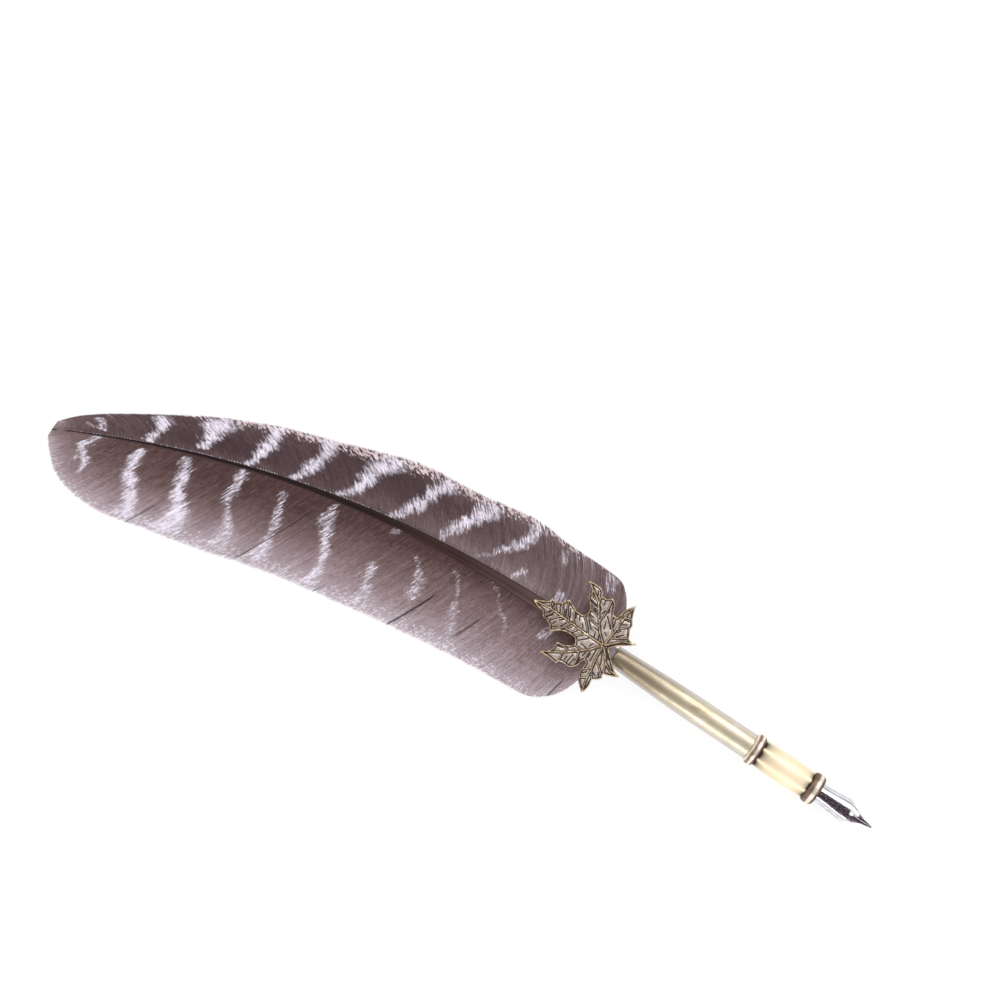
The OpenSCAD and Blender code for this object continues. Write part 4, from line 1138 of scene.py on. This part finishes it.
# tooled strokes inside the panels, more or less along the nearest side vein
rng = np.random.default_rng(52)
tree = KDTree(len(vs))
for i, v in enumerate(vs):
    tree.insert((v[0], v[1], 0), i)
tree.balance()
strokes = np.zeros((0, 2, 2))
free = vs[d_all > 0.4]
for point in free[rng.permutation(len(free))[:900]]:
    near = ss[np.argmin(np.linalg.norm(ss.mean(1) - point, axis=1))]
    lean_to = math.atan2(*(near[1] - near[0])[::-1]) + rng.uniform(-0.35, 0.35)
    ahead = np.array([math.cos(lean_to), math.sin(lean_to)])
    for arm in (1.9, 1.4, 1.0, 0.6):
        line = point + np.linspace(-arm, arm, 7)[:, None] * ahead
        room = min(d_all[tree.find((*spot, 0))[1]] for spot in line)
        if room > 0.40 and (not len(strokes) or distance_to(line, strokes).min() > 0.92):
            strokes = np.concatenate([strokes, line[[0, -1]][None]])
            break
d_stroke = distance_to(vs, strokes) - 0.17
wobble = 0.04 * (wave_noise(vs[:, 0] * 1.3 + 0.7 * vs[:, 1], 31) + wave_noise(
    vs[:, 1] * 1.7 - 0.5 * vs[:, 0], 32))
d_all = d_all + wobble
crown = np.clip(-d_all / 0.22, 0, 1)
ridge_h = RELIEF * (0.35 * ease(0.10, -0.04, d_all) + 0.65 * np.sqrt(1 - (1 - crown) ** 2))
dome = 0.13 * ease(0.15, 0.9, d_all)
cut_in = -0.16 * bell(d_all - 0.12, 0.13)
hammer = 0.035 * (wave_noise(vs[:, 0] * 2.1 + vs[:, 1] * 0.9, 33) + wave_noise(
    vs[:, 1] * 2.3 - vs[:, 0] * 1.1, 34))
edge_round = -0.22 * (1 - np.clip(d_edge / 0.16, 0, 1)) ** 2
cut_in = cut_in - 0.12 * bell(np.maximum(d_stroke, 0), 0.08)
z_top = PLATE + np.clip(ridge_h + dome + cut_in + hammer * (d_all > 0.1) + edge_round, -0.5, RELIEF)
top = np.column_stack([vs + HUB, LEAF_Z + z_top])
bottom = np.column_stack([vs + HUB, LEAF_Z + 0.10 * ease(0.3, 1.2, d_edge)])
pts, faces = slab(fs, top, bottom, len(ring))
ridge_a = np.concatenate([np.clip(ridge_h / RELIEF, 0, 1), np.zeros(len(vs))])
# groove darkness: patina in the grooves, stronger on one side of each vein as painted shade
groove_a = (1.0 + 0.42 * lee) * bell(d_all - 0.17, 0.20) * (d_all > -0.06)
groove_a = np.maximum(groove_a, 0.9 * bell(np.maximum(d_stroke, 0), 0.09))
groove_a = np.maximum(groove_a, 0.8 * bell(np.hypot(vs[:, 0], vs[:, 1]), 0.55))
groove_a = np.concatenate([groove_a, np.full(len(vs), 0.25)])
# painted shade toward -y and the leaf's back end, within 6 mm of its middle line
shade = ease(-3, 5, -vs[:, 1]) * ease(4, 14, -vs[:, 0]) * (np.abs(vs[:, 1]) < 6)
shade_a = np.concatenate([shade, np.full(len(vs), 0.3)])
make("cast_leaf", pts, faces, "pen", leaf_metal,
     {"ridge": ridge_a, "groove": groove_a, "shade": shade_a}, ["maple_leaf"])

# ---- CAD nodes that stay: their own looks ---------------------------------------------------

for node, look in (("thread_bush", plain_brass), ("nib_ferrule", plain_brass),
                   ("nib_clip", spring_steel), ("quill_adhesive", adhesive),
                   ("leaf_adhesive", adhesive)):
    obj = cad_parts[node]
    if obj.data.materials:
        for i in range(len(obj.data.materials)):
            obj.data.materials[i] = look
    else:
        obj.data.materials.append(look)

# ---- Floor, light, camera -------------------------------------------------------------------

scene = bpy.context.scene
floor_mesh = bpy.data.meshes.new("studio_floor")
FLOOR_LINES, FLOOR_HALF, FLOOR_Z = 41, 2.4, -0.00002
reach = np.linspace(-FLOOR_HALF, FLOOR_HALF, FLOOR_LINES)
gx, gy = np.meshgrid(reach, reach, indexing="ij")
floor_mesh.from_pydata(np.stack([gx, gy, 0 * gx + FLOOR_Z], -1).reshape(-1, 3).tolist(), [],
                       grid(FLOOR_LINES, FLOOR_LINES, flip=True).tolist())
floor = bpy.data.objects.new("studio_floor", floor_mesh)
scene.collection.objects.link(floor)
fm = Nodes("floor_look")
paper = fm.noise(fm.position(), 900, 3, 0.5)
floor_mesh.materials.append(fm.surface(
    fm.ramp(paper, [(0.3, 0.21), (0.7, 0.23)]), 0.9, Emission_Color=(255, 255, 255),
    Emission_Strength=0.80))

world = bpy.data.worlds.new("studio")
scene.world = world
world.use_nodes = True
wt = world.node_tree
background = wt.nodes["Background"]
coords = wt.nodes.new("ShaderNodeTexCoord")
overhead = wt.nodes.new("ShaderNodeVectorMath")
overhead.operation = "DOT_PRODUCT"
overhead.inputs[1].default_value = (0.0, -0.33, 0.944)
sky = wt.nodes.new("ShaderNodeValToRGB")
wt.links.new(coords.outputs["Generated"], overhead.inputs[0])
wt.links.new(overhead.outputs["Value"], sky.inputs[0])
wt.links.new(sky.outputs[0], background.inputs["Color"])
sky.color_ramp.interpolation = "EASE"
stops = sky.color_ramp.elements
stops.new(0.5)
stops.new(0.5)
for point, (at, v) in zip(stops, [(0.0, 0.60), (0.35, 0.86), (0.78, 0.97), (0.93, 0.55)]):
    point.position = at
    point.color = (v, v, v * 1.01, 1)
background.inputs["Strength"].default_value = 1.0


def softbox(name, at, size, power):
    """A rectangular soft light turned to the origin."""
    data = bpy.data.lights.new(name, "AREA")
    data.shape = "RECTANGLE"
    data.size, data.size_y = size
    data.energy = power
    obj = bpy.data.objects.new(name, data)
    obj.location = at
    obj.rotation_mode = "QUATERNION"
    obj.rotation_quaternion = (-Vector(at)).to_track_quat("-Z", "Y")
    scene.collection.objects.link(obj)


softbox("softbox_far", (0.0, 0.95, 0.78), (1.6, 0.7), 7.0)
softbox("softbox_near", (0.0, -1.0, 0.56), (1.6, 0.4), 4.5)
softbox("softbox_left", (-1.0, 0.35, 0.9), (0.5, 0.9), 1.5)

camera_data = bpy.data.cameras.new("photo_camera")
camera_data.lens = 120
camera_data.sensor_width = 36
camera = bpy.data.objects.new("photo_camera", camera_data)
camera.location = (-0.0116, 0.0347, 1.005)
camera.rotation_euler = (0, 0, math.radians(33.74))
scene.collection.objects.link(camera)
scene.camera = camera
scene.view_settings.view_transform = "Standard"
